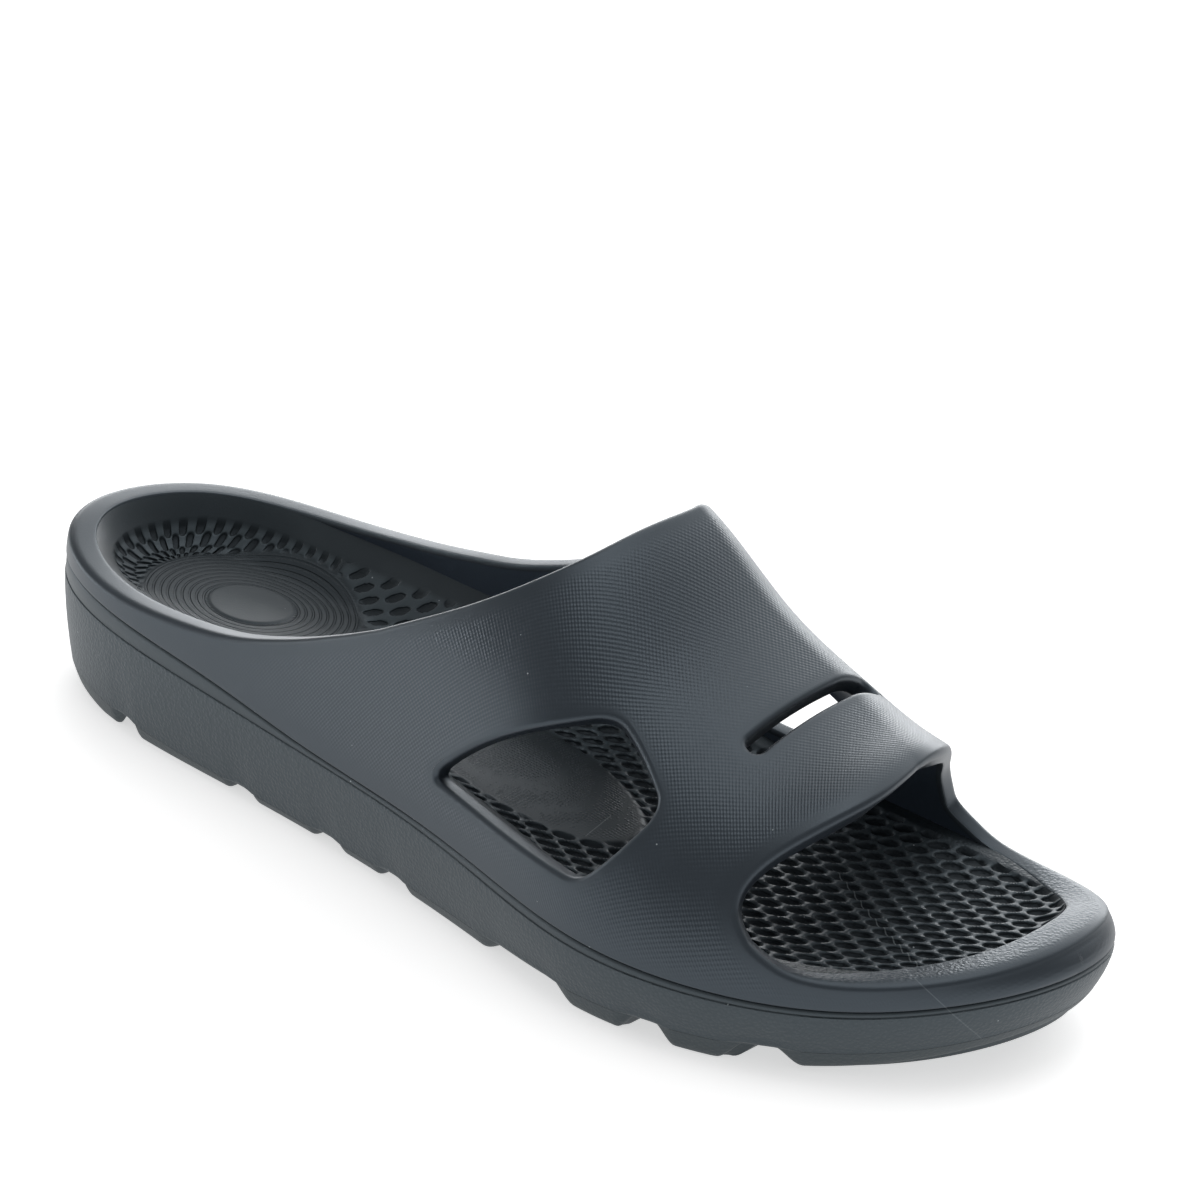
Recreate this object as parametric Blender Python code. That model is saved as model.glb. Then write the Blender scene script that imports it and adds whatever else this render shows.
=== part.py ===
# Sport slide sandal, right foot: moulded foam upper, footbed, midsole and lugged outsole.
# Lengths are millimetres until a mesh is written; +X is the toe, +Y the inner side, +Z up.

import math

import bmesh
import bpy
import numpy as np

MM = 0.001

# Driving sizes
SHOE_LENGTH = 290.0
BALL_WIDTH = 101.0
HEEL_HEIGHT = 29.6
INSTEP_RISE = 70.0
COLLAR_RISE = 60.0
STRAP_WALL = 4.4
HEEL_RIM_WIDTH = 7.0
TOE_LEDGE_WIDTH = 10.0
RIM_LIP = 1.6
INSOLE_THICKNESS = 5.5
LUG_HEIGHT = 5.6
SOLE_DRAFT = 2.8
PARTING_STEP = 0.5
GROOVE_DEPTH = 1.3
SOLE_EDGE_ROUND = 1.4
OUTSOLE_PLATE = 1.5
RECESS_INSET = 4.8
LUG_OVERHANG = 1.4
LUG_DRAFT = 1.9
LUG_ROUND = 0.9
CHANNEL_WIDTH = 15.0
CHANNEL_DEPTH = 3.2
SLOT_LENGTH = 45.0
SLOT_WIDTH = 4.4
SLOT_STATION = 0.7525
SLOT_CENTRE = 1.0
SLOT_CUT_FLOOR = 47.0
WINDOW_ROUND = 4.0
WINDOW_CLEARANCE = 15.0
CUTTER_MARGIN = 2.0
GAP = 0.3
MERGE_DISTANCE = 0.004
SHARP_ANGLE = 35.0

# Share of the length from heel (0) to toe (1), and how far the sole reaches
# to the outer and the inner side there, as shares of the ball width
OUTLINE = (
    (0.000, 0.000, 0.000),
    (0.040, -0.236, 0.260),
    (0.130, -0.341, 0.363),
    (0.280, -0.377, 0.357),
    (0.420, -0.416, 0.336),
    (0.560, -0.490, 0.397),
    (0.700, -0.561, 0.441),
    (0.820, -0.488, 0.466),
    (0.920, -0.305, 0.446),
    (0.975, -0.121, 0.347),
    (1.000, 0.122, 0.122),
)

# Station, then heights of the parting line and of the groove under the upper,
# as shares of the heel height
SIDE_LINES = (
    (0.00, 1.000, 1.159),
    (0.15, 0.885, 1.037),
    (0.25, 0.814, 0.945),
    (0.35, 0.753, 0.820),
    (0.50, 0.713, 0.770),
    (0.65, 0.618, 0.696),
    (0.80, 0.561, 0.622),
    (0.92, 0.611, 0.659),
    (1.00, 0.764, 0.811),
)

# Station, height of the side wall's lower edge as a share of the heel height,
# and how deep the lugs hang under it as a share of the lug height
WALL_FOOT = (
    (0.00, 0.196, 0.80),
    (0.05, 0.213, 0.95),
    (0.12, 0.172, 1.00),
    (0.70, 0.169, 1.00),
    (0.85, 0.203, 0.95),
    (0.95, 0.321, 0.70),
    (1.00, 0.459, 0.60),
)

# Station, rise of the vault over the groove as a share of the instep rise,
# and the side shift of its crest as a share of the ball width
VAULT = (
    (0.00, 0.396, 0.020),
    (0.20, 0.779, 0.040),
    (0.35, 1.039, 0.079),
    (0.50, 1.117, 0.119),
    (0.60, 1.007, 0.124),
    (0.66, 0.837, 0.124),
    (0.74, 0.698, 0.119),
    (0.80, 0.644, 0.079),
    (0.86, 0.618, 0.030),
    (0.93, 0.401, 0.059),
    (1.00, 0.200, 0.119),
)

# How square the vault's shoulders are: height and inward reach of the two handles
OUTER_SHOULDER = (0.68, 0.54)
INNER_SHOULDER = (0.50, 0.42)

# Station, rise of the collar's outer edge on the outer and the inner side,
# as shares of the collar rise
COLLAR = (
    (0.000, 0.075, 0.075),
    (0.100, 0.056, 0.106),
    (0.200, 0.113, 0.180),
    (0.280, 0.226, 0.293),
    (0.310, 0.296, 0.348),
    (0.338, 0.366, 0.399),
    (0.368, 0.445, 0.450),
    (0.397, 0.520, 0.503),
    (0.426, 0.597, 0.556),
    (0.480, 0.750, 0.700),
)

# Where the collar leaves the rim for the strap, on the outer side
STRAP_REAR = 0.425

# Way up the vault (1 is the crest), station of the strap's rear edge
# on the outer and the inner side
REAR_EDGE = (
    (0.32, 0.463, 0.444),
    (0.39, 0.501, 0.483),
    (0.47, 0.532, 0.519),
    (0.58, 0.560, 0.553),
    (0.69, 0.577, 0.573),
    (0.80, 0.586, 0.585),
    (0.90, 0.591, 0.590),
    (1.00, 0.593, 0.593),
)

# Where the toe ledge turns up into the strap's front edge, on the outer side
STRAP_FRONT = 0.830

# Station, rise of the toe ledge's outer edge as a share of the ledge rise,
# on the outer and the inner side
LEDGE_RISE = 5.1
LEDGE = (
    (0.780, 4.20, 3.20),
    (0.800, 3.40, 2.35),
    (0.820, 2.70, 1.60),
    (0.835, 2.10, 1.28),
    (0.855, 1.42, 1.10),
    (0.880, 1.06, 1.02),
    (0.910, 0.98, 0.99),
    (0.950, 0.97, 0.97),
    (1.000, 1.00, 1.00),
)

# Way up the vault, station of the strap's front edge on the outer and the inner side
FRONT_EDGE = (
    (0.20, 0.817, 0.794),
    (0.26, 0.811, 0.790),
    (0.33, 0.811, 0.791),
    (0.42, 0.818, 0.796),
    (0.53, 0.832, 0.808),
    (0.64, 0.846, 0.822),
    (0.80, 0.861, 0.844),
    (0.92, 0.864, 0.857),
    (1.00, 0.863, 0.863),
)

# Station, then wall thickness: shares of the heel rim, the strap wall and the toe ledge
WALL = (
    (0.00, 1.0, 0.0, 0.0),
    (0.12, 0.9, 0.0, 0.0),
    (0.30, 0.2, 0.8, 0.0),
    (0.42, 0.0, 1.0, 0.0),
    (0.80, 0.0, 1.0, 0.0),
    (0.86, 0.0, 0.9, 0.1),
    (0.92, 0.0, 0.3, 0.7),
    (1.00, 0.0, 0.0, 1.0),
)

# Station, footbed height over the groove along the middle, and height of its
# outer and inner edges over the groove, as shares of the heel height
FOOTBED = (
    (0.00, -0.128, 0.185, 0.185),
    (0.10, -0.085, 0.150, 0.255),
    (0.20, -0.035, 0.225, 0.330),
    (0.30, 0.077, 0.370, 0.480),
    (0.40, 0.160, 0.397, 0.597),
    (0.50, 0.172, 0.323, 0.508),
    (0.60, 0.172, 0.266, 0.351),
    (0.75, 0.170, 0.245, 0.260),
    (0.84, 0.165, 0.225, 0.235),
    (0.90, 0.160, 0.190, 0.190),
    (0.95, 0.140, 0.185, 0.185),
    (1.00, 0.118, 0.185, 0.185),
)

# Corners of the two side windows: station, rise over the groove as a share of
# the instep rise, and how far the side that follows bows out, in millimetres
OUTER_WINDOW = (
    (0.512, 0.182, 3.8),
    (0.660, 0.627, 0.6),
    (0.730, 0.461, 1.2),
    (0.688, 0.183, 0.4),
)
INNER_WINDOW = (
    (0.505, 0.200, 2.8),
    (0.648, 0.560, 0.6),
    (0.712, 0.430, 1.2),
    (0.676, 0.190, 0.4),
)

# Flex channels across the outsole: start and end station
FLEX_CHANNELS = (
    (0.128, 0.150),
    (0.270, 0.294),
    (0.371, 0.398),
    (0.450, 0.479),
    (0.582, 0.680),
    (0.740, 0.777),
    (0.826, 0.872),
)

# Height in a flex channel as a share of its roof, and how far its sides flare there
CHANNEL_SIDES = (
    (0.00, 2.4),
    (0.25, 1.0),
    (0.55, 0.1),
    (0.80, -0.7),
    (0.95, -1.8),
    (1.00, -3.0),
)
FULL_FLARE_WIDTH = 12.0

# Share of the way from the footbed's edge to the middle line at each row of its top
BED_SHARES = (0.03, 0.14, 0.28, 0.45, 0.7, 1.0)
CUP_LEAD = -0.28
CUP_END = 0.52

# Colours: red, green and blue, then roughness
UPPER_FINISH = ((0.030, 0.038, 0.048), 0.55)
INSOLE_FINISH = ((0.030, 0.038, 0.042), 0.60)
MIDSOLE_FINISH = ((0.042, 0.048, 0.050), 0.55)
OUTSOLE_FINISH = ((0.050, 0.056, 0.056), 0.60)

# Mesh steps
RING_STEPS = 104
HEEL_STEPS = 54
TOE_STEPS = 26
STRAP_STEPS = 14
SIDE_STEPS = (2, 2, 8)


def curve(table, column, station):
    """Height of the smooth curve through one column of a table, straight at both ends."""
    rows = np.array(table, float)
    xs = rows[:, 0]
    ys = rows[:, column]
    return natural_spline(xs, ys, np.clip(station, xs[0], xs[-1]))


def natural_spline(xs, ys, at):
    """Cubic spline through the points, with no bend at its two ends."""
    count = len(xs)
    step = np.diff(xs)
    slope = np.diff(ys) / step
    matrix = np.eye(count)
    right = np.zeros(count)
    for i in range(1, count - 1):
        matrix[i, i - 1:i + 2] = step[i - 1], 2 * (step[i - 1] + step[i]), step[i]
        right[i] = 6 * (slope[i] - slope[i - 1])
    bend = np.linalg.solve(matrix, right)
    at = np.asarray(at, float)
    i = np.clip(np.searchsorted(xs, at, side="right") - 1, 0, count - 2)
    before = xs[i + 1] - at
    after = at - xs[i]
    h = step[i]
    cubic = (bend[i] * before ** 3 + bend[i + 1] * after ** 3) / (6 * h)
    return cubic + (ys[i] / h - bend[i] * h / 6) * before + (ys[i + 1] / h - bend[i + 1] * h / 6) * after


def smooth_step(value, start, end):
    """0 before start, 1 after end, and a soft ramp between them."""
    share = np.clip((value - start) / (end - start), 0.0, 1.0)
    return share * share * (3 - 2 * share)


def angle_of(station):
    """Angle round the outline at which the outer side reaches a station."""
    return np.arccos(1 - 2 * np.clip(station, 0.0, 1.0))


def station_of(angle):
    """Share of the length at an angle round the outline."""
    return (1 - np.cos(angle)) / 2


def is_outer(angle):
    """True on the outer side, whose angles run from 0 at the heel to half a turn at the toe."""
    return np.mod(angle, 2 * math.pi) <= math.pi


def outline(angle):
    """Plan point of the sole's widest line at an angle: a closed spline through OUTLINE."""
    rows = np.array(OUTLINE)
    knots = angle_of(rows[:, 0])
    xs = np.concatenate([knots, 2 * math.pi - knots[-2:0:-1]])
    ys = np.concatenate([rows[:, 1], rows[-2:0:-1, 2]]) * BALL_WIDTH
    wrap = 3
    xs_round = np.concatenate([xs[-wrap:] - 2 * math.pi, xs, xs[:wrap + 1] + 2 * math.pi])
    ys_round = np.concatenate([ys[-wrap:], ys, ys[:wrap + 1]])
    y = natural_spline(xs_round, ys_round, np.mod(angle, 2 * math.pi))
    return np.stack([SHOE_LENGTH * station_of(angle), y], -1)


def inward(angle):
    """Unit plan vector from the outline to the inside of the shoe."""
    small = 1e-4
    run = outline(angle + small) - outline(angle - small)
    run /= np.linalg.norm(run, axis=-1, keepdims=True)
    return np.stack([-run[..., 1], run[..., 0]], -1)


def ring(angle, inset, height):
    """Points at a distance inside the outline, at a height."""
    plan = outline(angle) + inward(angle) * np.asarray(inset)[..., None]
    return np.concatenate([plan, np.broadcast_to(height, plan.shape[:-1])[..., None]], -1)


def parting_height(station):
    return HEEL_HEIGHT * curve(SIDE_LINES, 1, station)


def groove_height(station):
    return HEEL_HEIGHT * curve(SIDE_LINES, 2, station)


def wall_foot_height(station):
    return HEEL_HEIGHT * curve(WALL_FOOT, 1, station)


def lug_foot_height(station):
    """Height of the lugs' underside: on the floor, but rising at heel and toe."""
    return np.maximum(wall_foot_height(station) - LUG_HEIGHT * curve(WALL_FOOT, 2, station), 0.0)


def wall_thickness(station):
    """Thickness of the upper: rim at the heel, wall in the strap, ledge at the toe."""
    rim = HEEL_RIM_WIDTH * curve(WALL, 1, station)
    strap = STRAP_WALL * curve(WALL, 2, station)
    ledge = TOE_LEDGE_WIDTH * curve(WALL, 3, station)
    return rim + strap + ledge


def rib_plan(angle):
    """Plan of a rib: its foot on the outline, and the run from there to its end on the crest."""
    station = station_of(angle)
    plan = outline(angle)
    side = np.where(is_outer(angle), 1.0, -1.0)
    across = smooth_step(station, 0.12, 0.35) * smooth_step(-station, -0.97, -0.80)
    lead = inward(angle) * (1 - across)[..., None]
    lead[..., 1] += side * across
    lead /= np.linalg.norm(lead, axis=-1, keepdims=True)
    reach = np.abs(BALL_WIDTH * curve(VAULT, 2, station) - plan[..., 1])
    reach = np.where(across > 0.999, reach, np.maximum(reach, 0.4 * BALL_WIDTH * (1 - across) + reach * across))
    return plan, lead * reach[..., None]


def vault_point(angle, way):
    """Point of the upper's outer surface: a rib rises from the groove to the vault's crest.

    Each rib is a cubic with handles straight up from the groove and level at the crest,
    and way runs from 0 at the groove to 1 at the crest. In front of the instep the ribs of
    both sides are drawn together, so that they end at one place on the crest.
    """
    station = station_of(angle)
    plan, run = rib_plan(angle)
    other_plan, other_run = rib_plan(-angle)
    draw = 0.5 * smooth_step(station, 0.50, 0.80) * smooth_step(-station, -0.96, -0.90)
    together = (other_plan + other_run - plan - run) * draw[..., None]
    rise = INSTEP_RISE * curve(VAULT, 1, station)
    blend = smooth_step(np.sin(angle), -0.5, 0.5)
    lift = INNER_SHOULDER[0] + (OUTER_SHOULDER[0] - INNER_SHOULDER[0]) * blend
    hold = INNER_SHOULDER[1] + (OUTER_SHOULDER[1] - INNER_SHOULDER[1]) * blend
    first = 3 * (1 - way) ** 2 * way
    second = 3 * (1 - way) * way ** 2
    third = way ** 3
    inset = second * (1 - hold) + third
    height = groove_height(station) + (first * lift + second + third) * rise
    plan = plan + run * inset[..., None] + together * (second + third)[..., None]
    return np.concatenate([plan, height[..., None]], -1)


def vault_normal(angle, way):
    """Unit vector out of the vault, held level along its foot, heel rim and toe ledge."""
    small = 1e-4
    low = np.clip(way - small, 0.0, 1.0)
    high = np.clip(way + small, 0.0, 1.0)
    up = vault_point(angle, high) - vault_point(angle, low)
    round_way = vault_point(angle + small, way) - vault_point(angle - small, way)
    normal = np.cross(round_way, up)
    station = station_of(angle)
    arched = smooth_step(station, 0.22, 0.42) * smooth_step(-station, -0.90, -0.82)
    normal[..., 2] *= smooth_step(way, -0.001, 0.08) * arched
    return normal / np.linalg.norm(normal, axis=-1, keepdims=True)


def way_to_rise(angle, rise):
    """Way up the ribs at which the vault stands a given height over the groove."""
    low = np.zeros(np.shape(angle))
    high = np.ones(np.shape(angle))
    base = groove_height(station_of(angle))
    for _ in range(40):
        middle = (low + high) / 2
        below = vault_point(angle, middle)[..., 2] - base < rise
        low = np.where(below, middle, low)
        high = np.where(below, high, middle)
    return (low + high) / 2


def collar_way(angle):
    """Way up the ribs of the collar's edge, from the heel to the strap."""
    station = station_of(angle)
    outer = COLLAR_RISE * curve(COLLAR, 1, station)
    inner = COLLAR_RISE * curve(COLLAR, 2, station)
    return way_to_rise(angle, np.where(is_outer(angle), outer, inner))


def ledge_way(angle):
    """Way up the ribs of the toe ledge's edge."""
    station = station_of(angle)
    outer = LEDGE_RISE * curve(LEDGE, 1, station)
    inner = LEDGE_RISE * curve(LEDGE, 2, station)
    return way_to_rise(angle, np.where(is_outer(angle), outer, inner))


def matching_station(edge_way, way, low, high):
    """Station on the inner side at which an edge is as far up the ribs as given."""
    rising = edge_way(-angle_of(np.array(high))) > edge_way(-angle_of(np.array(low)))
    for _ in range(40):
        middle = (low + high) / 2
        above = edge_way(-angle_of(np.array(middle))) > way
        if above == rising:
            high = middle
        else:
            low = middle
    return (low + high) / 2


def edge_station(table, column, way, corner_way, corner_station):
    """Station of a strap edge at a way up the ribs, held at its corner below it.

    The curve runs on over the crest and down the other side, so it has no kink there.
    """
    rows = [(corner_way, corner_station)]
    rows += [(row[0], row[column]) for row in table if row[0] > corner_way + 0.02]
    rows += [(2 - row[0], row[3 - column]) for row in reversed(table[:-1])]
    return np.where(way <= corner_way, corner_station, curve(rows, 1, way))


def upper_grids():
    """Angles and ways of the three sheets of the upper: heel band, strap and toe band."""
    rear = float(collar_way(angle_of(np.array(STRAP_REAR))))
    front = float(ledge_way(angle_of(np.array(STRAP_FRONT))))
    inner_rear = matching_station(collar_way, rear, 0.3, 0.48)
    inner_front = matching_station(ledge_way, front, 0.785, 0.88)
    low, middle, high = SIDE_STEPS
    foot = np.linspace(0, front, low + 1)
    belt = np.linspace(front, rear, middle + 1)[1:]
    top = np.linspace(rear, 1, high + 1)[1:]
    ways = np.concatenate([foot, belt, top])

    heel_angle = np.linspace(float(angle_of(STRAP_REAR)), -float(angle_of(inner_rear)), HEEL_STEPS + 1)
    heel_share = np.concatenate([foot, belt]) / rear
    heel = (
        np.repeat(heel_angle[:, None], len(heel_share), 1),
        collar_way(heel_angle)[:, None] * heel_share[None],
    )
    toe_end = 2 * math.pi - float(angle_of(inner_front))
    toe_angle = np.linspace(float(angle_of(STRAP_FRONT)), toe_end, TOE_STEPS + 1)
    toe = (
        np.repeat(toe_angle[:, None], low + 1, 1),
        ledge_way(toe_angle)[:, None] * (foot / front)[None],
    )

    along = np.linspace(0, 1, STRAP_STEPS + 1)[:, None]
    sides = []
    for column, sign, back, fore in ((1, 1, STRAP_REAR, STRAP_FRONT), (2, -1, inner_rear, inner_front)):
        start = edge_station(REAR_EDGE, column, ways, rear, back)
        end = edge_station(FRONT_EDGE, column, ways, front, fore)
        sides.append(sign * angle_of(start * (1 - along) + end * along))
    strap_angle = np.concatenate([sides[0], sides[1][:, -2::-1]], 1)
    strap_way = np.repeat(np.concatenate([ways, ways[-2::-1]])[None], STRAP_STEPS + 1, 0)
    return heel, (strap_angle, strap_way), toe, low, low + middle


def lip(edge, inside, normal, into_hole_hint):
    """Rows that round a hole's outer edge over to its sharp inner edge.

    The edge swells into the hole by RIM_LIP, across the edge and along the wall.
    """
    run = np.roll(edge, -1, 0) - np.roll(edge, 1, 0)
    into = np.cross(run, normal)
    into /= np.linalg.norm(into, axis=-1, keepdims=True)
    if np.dot(into[0], into_hole_hint) < 0:
        into = -into
    rows = [edge]
    for across, swell in ((0.10, 0.70), (0.34, 1.0), (1.0, 1.0)):
        rows.append(edge + (inside - edge) * across + into * swell * RIM_LIP)
    rows.append(inside)
    return np.stack(rows)


def upper_patches():
    """Every sheet of the upper: outer and inner surfaces, rim lips and flat foot."""
    heel, strap, toe, front_cells, rear_cells = upper_grids()
    patches = []
    outer = []
    inner = []
    normals = []
    for angle, way in (heel, strap, toe):
        surface = vault_point(angle, way)
        normal = vault_normal(angle, way)
        inside = surface - normal * wall_thickness(station_of(angle))[..., None]
        inside[..., 2] = np.where(way <= 0, surface[..., 2], inside[..., 2])
        outer.append(surface)
        inner.append(inside)
        normals.append(normal)
        patches += [surface, inside]
        patches.append(np.stack([surface[:, 0], inside[:, 0]]))
    patches.append(np.stack([outer[1][:, -1], inner[1][:, -1]]))

    def loop(band, row, skip, grids):
        """Closed edge of a hole: a band's top edge, then the strap's edge back over the crest."""
        over = grids[1][row, skip:grids[1].shape[1] - skip][::-1]
        return np.concatenate([grids[band][:, -1], over[1:-1]])

    collar = [loop(0, 0, rear_cells, grids) for grids in (outer, inner, normals)]
    patches.append(closed(lip(*collar, (0, 0, 1))))
    mouth = [loop(2, -1, front_cells, grids) for grids in (outer, inner, normals)]
    patches.append(closed(lip(*mouth, (0, 0, 1))))
    return patches


def closed(rows):
    """Rows of points with the first point of each repeated at its end."""
    return np.concatenate([rows, rows[:, :1]], 1)


def body_from_patches(name, patches, finish):
    """One closed body from grids of points that share their edges."""
    mesh = bpy.data.meshes.new(name)
    shape = bmesh.new()
    for patch in patches:
        rows, columns = patch.shape[:2]
        corners = [[shape.verts.new(point * MM) for point in line] for line in patch]
        for i in range(rows - 1):
            for j in range(columns - 1):
                shape.faces.new((corners[i][j], corners[i + 1][j], corners[i + 1][j + 1], corners[i][j + 1]))
    bmesh.ops.remove_doubles(shape, verts=shape.verts, dist=MERGE_DISTANCE * MM)
    bmesh.ops.dissolve_degenerate(shape, edges=shape.edges, dist=MERGE_DISTANCE * MM)
    bmesh.ops.triangulate(shape, faces=shape.faces)
    bmesh.ops.recalc_face_normals(shape, faces=shape.faces)
    shape.to_mesh(mesh)
    shape.free()
    mesh.shade_smooth()
    mesh.set_sharp_from_angle(angle=math.radians(SHARP_ANGLE))
    body = bpy.data.objects.new(name, mesh)
    bpy.context.scene.collection.objects.link(body)
    colour, roughness = finish
    material = bpy.data.materials.new(name)
    material.use_nodes = True
    shader = material.node_tree.nodes["Principled BSDF"]
    shader.inputs["Base Color"].default_value = (*colour, 1)
    shader.inputs["Roughness"].default_value = roughness
    shader.inputs["Metallic"].default_value = 0
    mesh.materials.append(material)
    return body


def cutter_from_outline(name, points, start, end, axis):
    """Prism for a Boolean: a closed outline carried along an axis from start to end."""
    mesh = bpy.data.meshes.new(name)
    shape = bmesh.new()
    spread = np.insert(np.asarray(points, float), axis, start, 1)
    face = shape.faces.new([shape.verts.new(point * MM) for point in spread])
    swept = bmesh.ops.extrude_face_region(shape, geom=[face])
    moved = [part for part in swept["geom"] if isinstance(part, bmesh.types.BMVert)]
    shift = np.zeros(3)
    shift[axis] = (end - start) * MM
    bmesh.ops.translate(shape, verts=moved, vec=shift)
    bmesh.ops.recalc_face_normals(shape, faces=shape.faces)
    shape.to_mesh(mesh)
    shape.free()
    cutter = bpy.data.objects.new(name, mesh)
    bpy.context.scene.collection.objects.link(cutter)
    cutter.hide_render = True
    cutter.display_type = "WIRE"
    return cutter


def cut(body, cutter):
    """Take a cutter out of a body."""
    modifier = body.modifiers.new(cutter.name, "BOOLEAN")
    modifier.operation = "DIFFERENCE"
    modifier.solver = "EXACT"
    modifier.object = cutter


def window_outline(corners):
    """Side view of a window: bowed sides joined by rounded corners."""
    rows = np.array(corners)
    xs = rows[:, 0] * SHOE_LENGTH
    zs = groove_height(rows[:, 0]) + rows[:, 1] * INSTEP_RISE
    tips = np.stack([xs, zs], 1)
    middle = tips.mean(0)
    points = []
    for i, bow in enumerate(rows[:, 2]):
        start = tips[i]
        end = tips[(i + 1) % len(tips)]
        run = end - start
        length = np.linalg.norm(run)
        across = np.array([run[1], -run[0]]) / length
        if np.dot(across, start - middle) < 0:
            across = -across
        for share in np.linspace(WINDOW_ROUND / length, 1 - WINDOW_ROUND / length, 7):
            points.append(start + run * share + across * bow * 4 * share * (1 - share))
    sides = np.array(points).reshape(len(tips), 7, 2)
    outline_points = []
    for i in range(len(tips)):
        outline_points.extend(sides[i])
        following = sides[(i + 1) % len(tips)]
        tip = tips[(i + 1) % len(tips)]
        for share in (0.25, 0.5, 0.75):
            before = sides[i][-1] * (1 - share) + tip * share
            after = tip * (1 - share) + following[0] * share
            outline_points.append(before * (1 - share) + after * share)
    return outline_points


def slot_outline():
    """Plan of the vent slot: two straight sides and round ends, across the strap."""
    radius = SLOT_WIDTH / 2
    x = SLOT_STATION * SHOE_LENGTH
    half = SLOT_LENGTH / 2 - radius
    points = []
    for centre, first in ((SLOT_CENTRE + half, 0.0), (SLOT_CENTRE - half, math.pi)):
        for turn in np.linspace(first, first + math.pi, 7):
            points.append((x + radius * math.cos(turn), centre + radius * math.sin(turn)))
    return points


def make_upper():
    """Hollow moulded upper: heel rim, strap with two windows and a slot, toe ledge."""
    body = body_from_patches("upper", upper_patches(), UPPER_FINISH)
    outer = window_outline(OUTER_WINDOW)
    inner = window_outline(INNER_WINDOW)
    top = HEEL_HEIGHT + 2 * INSTEP_RISE
    cut(body, cutter_from_outline("outer_window_cutter", outer, -BALL_WIDTH, -WINDOW_CLEARANCE, 1))
    cut(body, cutter_from_outline("inner_window_cutter", inner, WINDOW_CLEARANCE, BALL_WIDTH, 1))
    cut(body, cutter_from_outline("slot_cutter", slot_outline(), SLOT_CUT_FLOOR, top, 2))
    return body


def middle_line(angle):
    """Plan point on the shoe's middle line that a ring closes on."""
    station = np.clip(station_of(angle), 0.09, 0.93)
    rim = angle_of(station)
    return (outline(rim) + outline(-rim)) / 2


def toward_middle(edge, angle, share, height):
    """Points part of the way from an edge ring to the middle line, at a height."""
    plan = edge[..., :2] * (1 - share) + middle_line(angle) * share
    return np.concatenate([plan, np.broadcast_to(height, plan.shape[:-1])[..., None]], -1)


def ring_angles():
    return np.linspace(0, 2 * math.pi, RING_STEPS + 1)[:-1]


def footbed_height(x):
    station = np.clip(x / SHOE_LENGTH, 0, 1)
    return groove_height(station) + HEEL_HEIGHT * curve(FOOTBED, 1, station)


def footbed_edge_height(angle):
    """Height of the footbed's edge, where it meets the inside of the upper."""
    station = station_of(angle)
    outer = curve(FOOTBED, 2, station)
    inner = curve(FOOTBED, 3, station)
    return groove_height(station) + HEEL_HEIGHT * np.where(is_outer(angle), outer, inner)


def inside_wall(angle, height):
    """Points on the inner face of the upper at a height over the floor."""
    rise = np.maximum(height - groove_height(station_of(angle)), 0)
    way = way_to_rise(angle, rise)
    return vault_point(angle, way) - vault_normal(angle, way) * wall_thickness(station_of(angle))[..., None]


def insole_patches():
    """Cupped footbed: level underside, side that follows the upper, dished top."""
    angle = ring_angles()
    station = station_of(angle)
    seat = wall_thickness(station)
    edge_height = footbed_edge_height(angle)
    well = ring(angle, seat, 0)
    foot = ring(angle, seat + GAP, 0)
    foot[:, 2] = footbed_height(foot[:, 0]) - INSOLE_THICKNESS
    shoulder = ring(angle, seat + GAP, groove_height(station))
    wall = inside_wall(angle, edge_height)
    edge = wall + np.concatenate([inward(angle) * 3 * GAP, np.zeros((len(angle), 1))], 1)
    edge[:, 2] = edge_height
    rows = []
    for share in (1.0, 0.5):
        row = toward_middle(well, angle, share, 0)
        row[:, 2] = footbed_height(row[:, 0]) - INSOLE_THICKNESS
        rows.append(row)
    rows += [foot, shoulder, edge]
    whole = 1 - smooth_step(0, CUP_LEAD, CUP_END)
    for share in BED_SHARES:
        row = toward_middle(edge, angle, share, 0)
        bed = footbed_height(row[:, 0])
        row[:, 2] = bed + (edge_height - bed) * (1 - smooth_step(share, CUP_LEAD, CUP_END)) / whole
        rows.append(row)
    return [closed(np.stack(rows))]


def midsole_patches():
    """Side wall with groove, parting step and draft, seat for the upper, beds above and below."""
    angle = ring_angles()
    station = station_of(angle)
    parting = parting_height(station)
    groove = groove_height(station)
    foot = wall_foot_height(station)
    seat = wall_thickness(station)
    well = ring(angle, seat, 0)
    recess = ring(angle, RECESS_INSET, foot + OUTSOLE_PLATE + GAP)
    rows = []
    for share in (1.0, 0.5, 0.0):
        row = toward_middle(recess, angle, share, 0)
        row[:, 2] = wall_foot_height(row[:, 0] / SHOE_LENGTH) + OUTSOLE_PLATE + GAP
        rows.append(row)
    rows.append(ring(angle, RECESS_INSET, foot))
    rows.append(ring(angle, SOLE_DRAFT + 0.35 * SOLE_EDGE_ROUND, foot))
    rows.append(ring(angle, SOLE_DRAFT, foot + SOLE_EDGE_ROUND))
    rows.append(ring(angle, 0.3 * SOLE_DRAFT, foot * 0.45 + parting * 0.55))
    rows.append(ring(angle, 0, parting - PARTING_STEP / 2))
    rows.append(ring(angle, PARTING_STEP, parting + PARTING_STEP / 2))
    rows.append(ring(angle, PARTING_STEP, groove - 0.8 * GROOVE_DEPTH * (groove - parting) / (groove - parting + 1)))
    rows.append(ring(angle, GROOVE_DEPTH, groove - GAP))
    rows.append(ring(angle, seat, groove - GAP))
    for share in (0.0, 0.5, 1.0):
        row = toward_middle(well, angle, share, 0)
        row[:, 2] = footbed_height(row[:, 0]) - INSOLE_THICKNESS - GAP
        rows.append(row)
    return [closed(np.stack(rows))]


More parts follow.
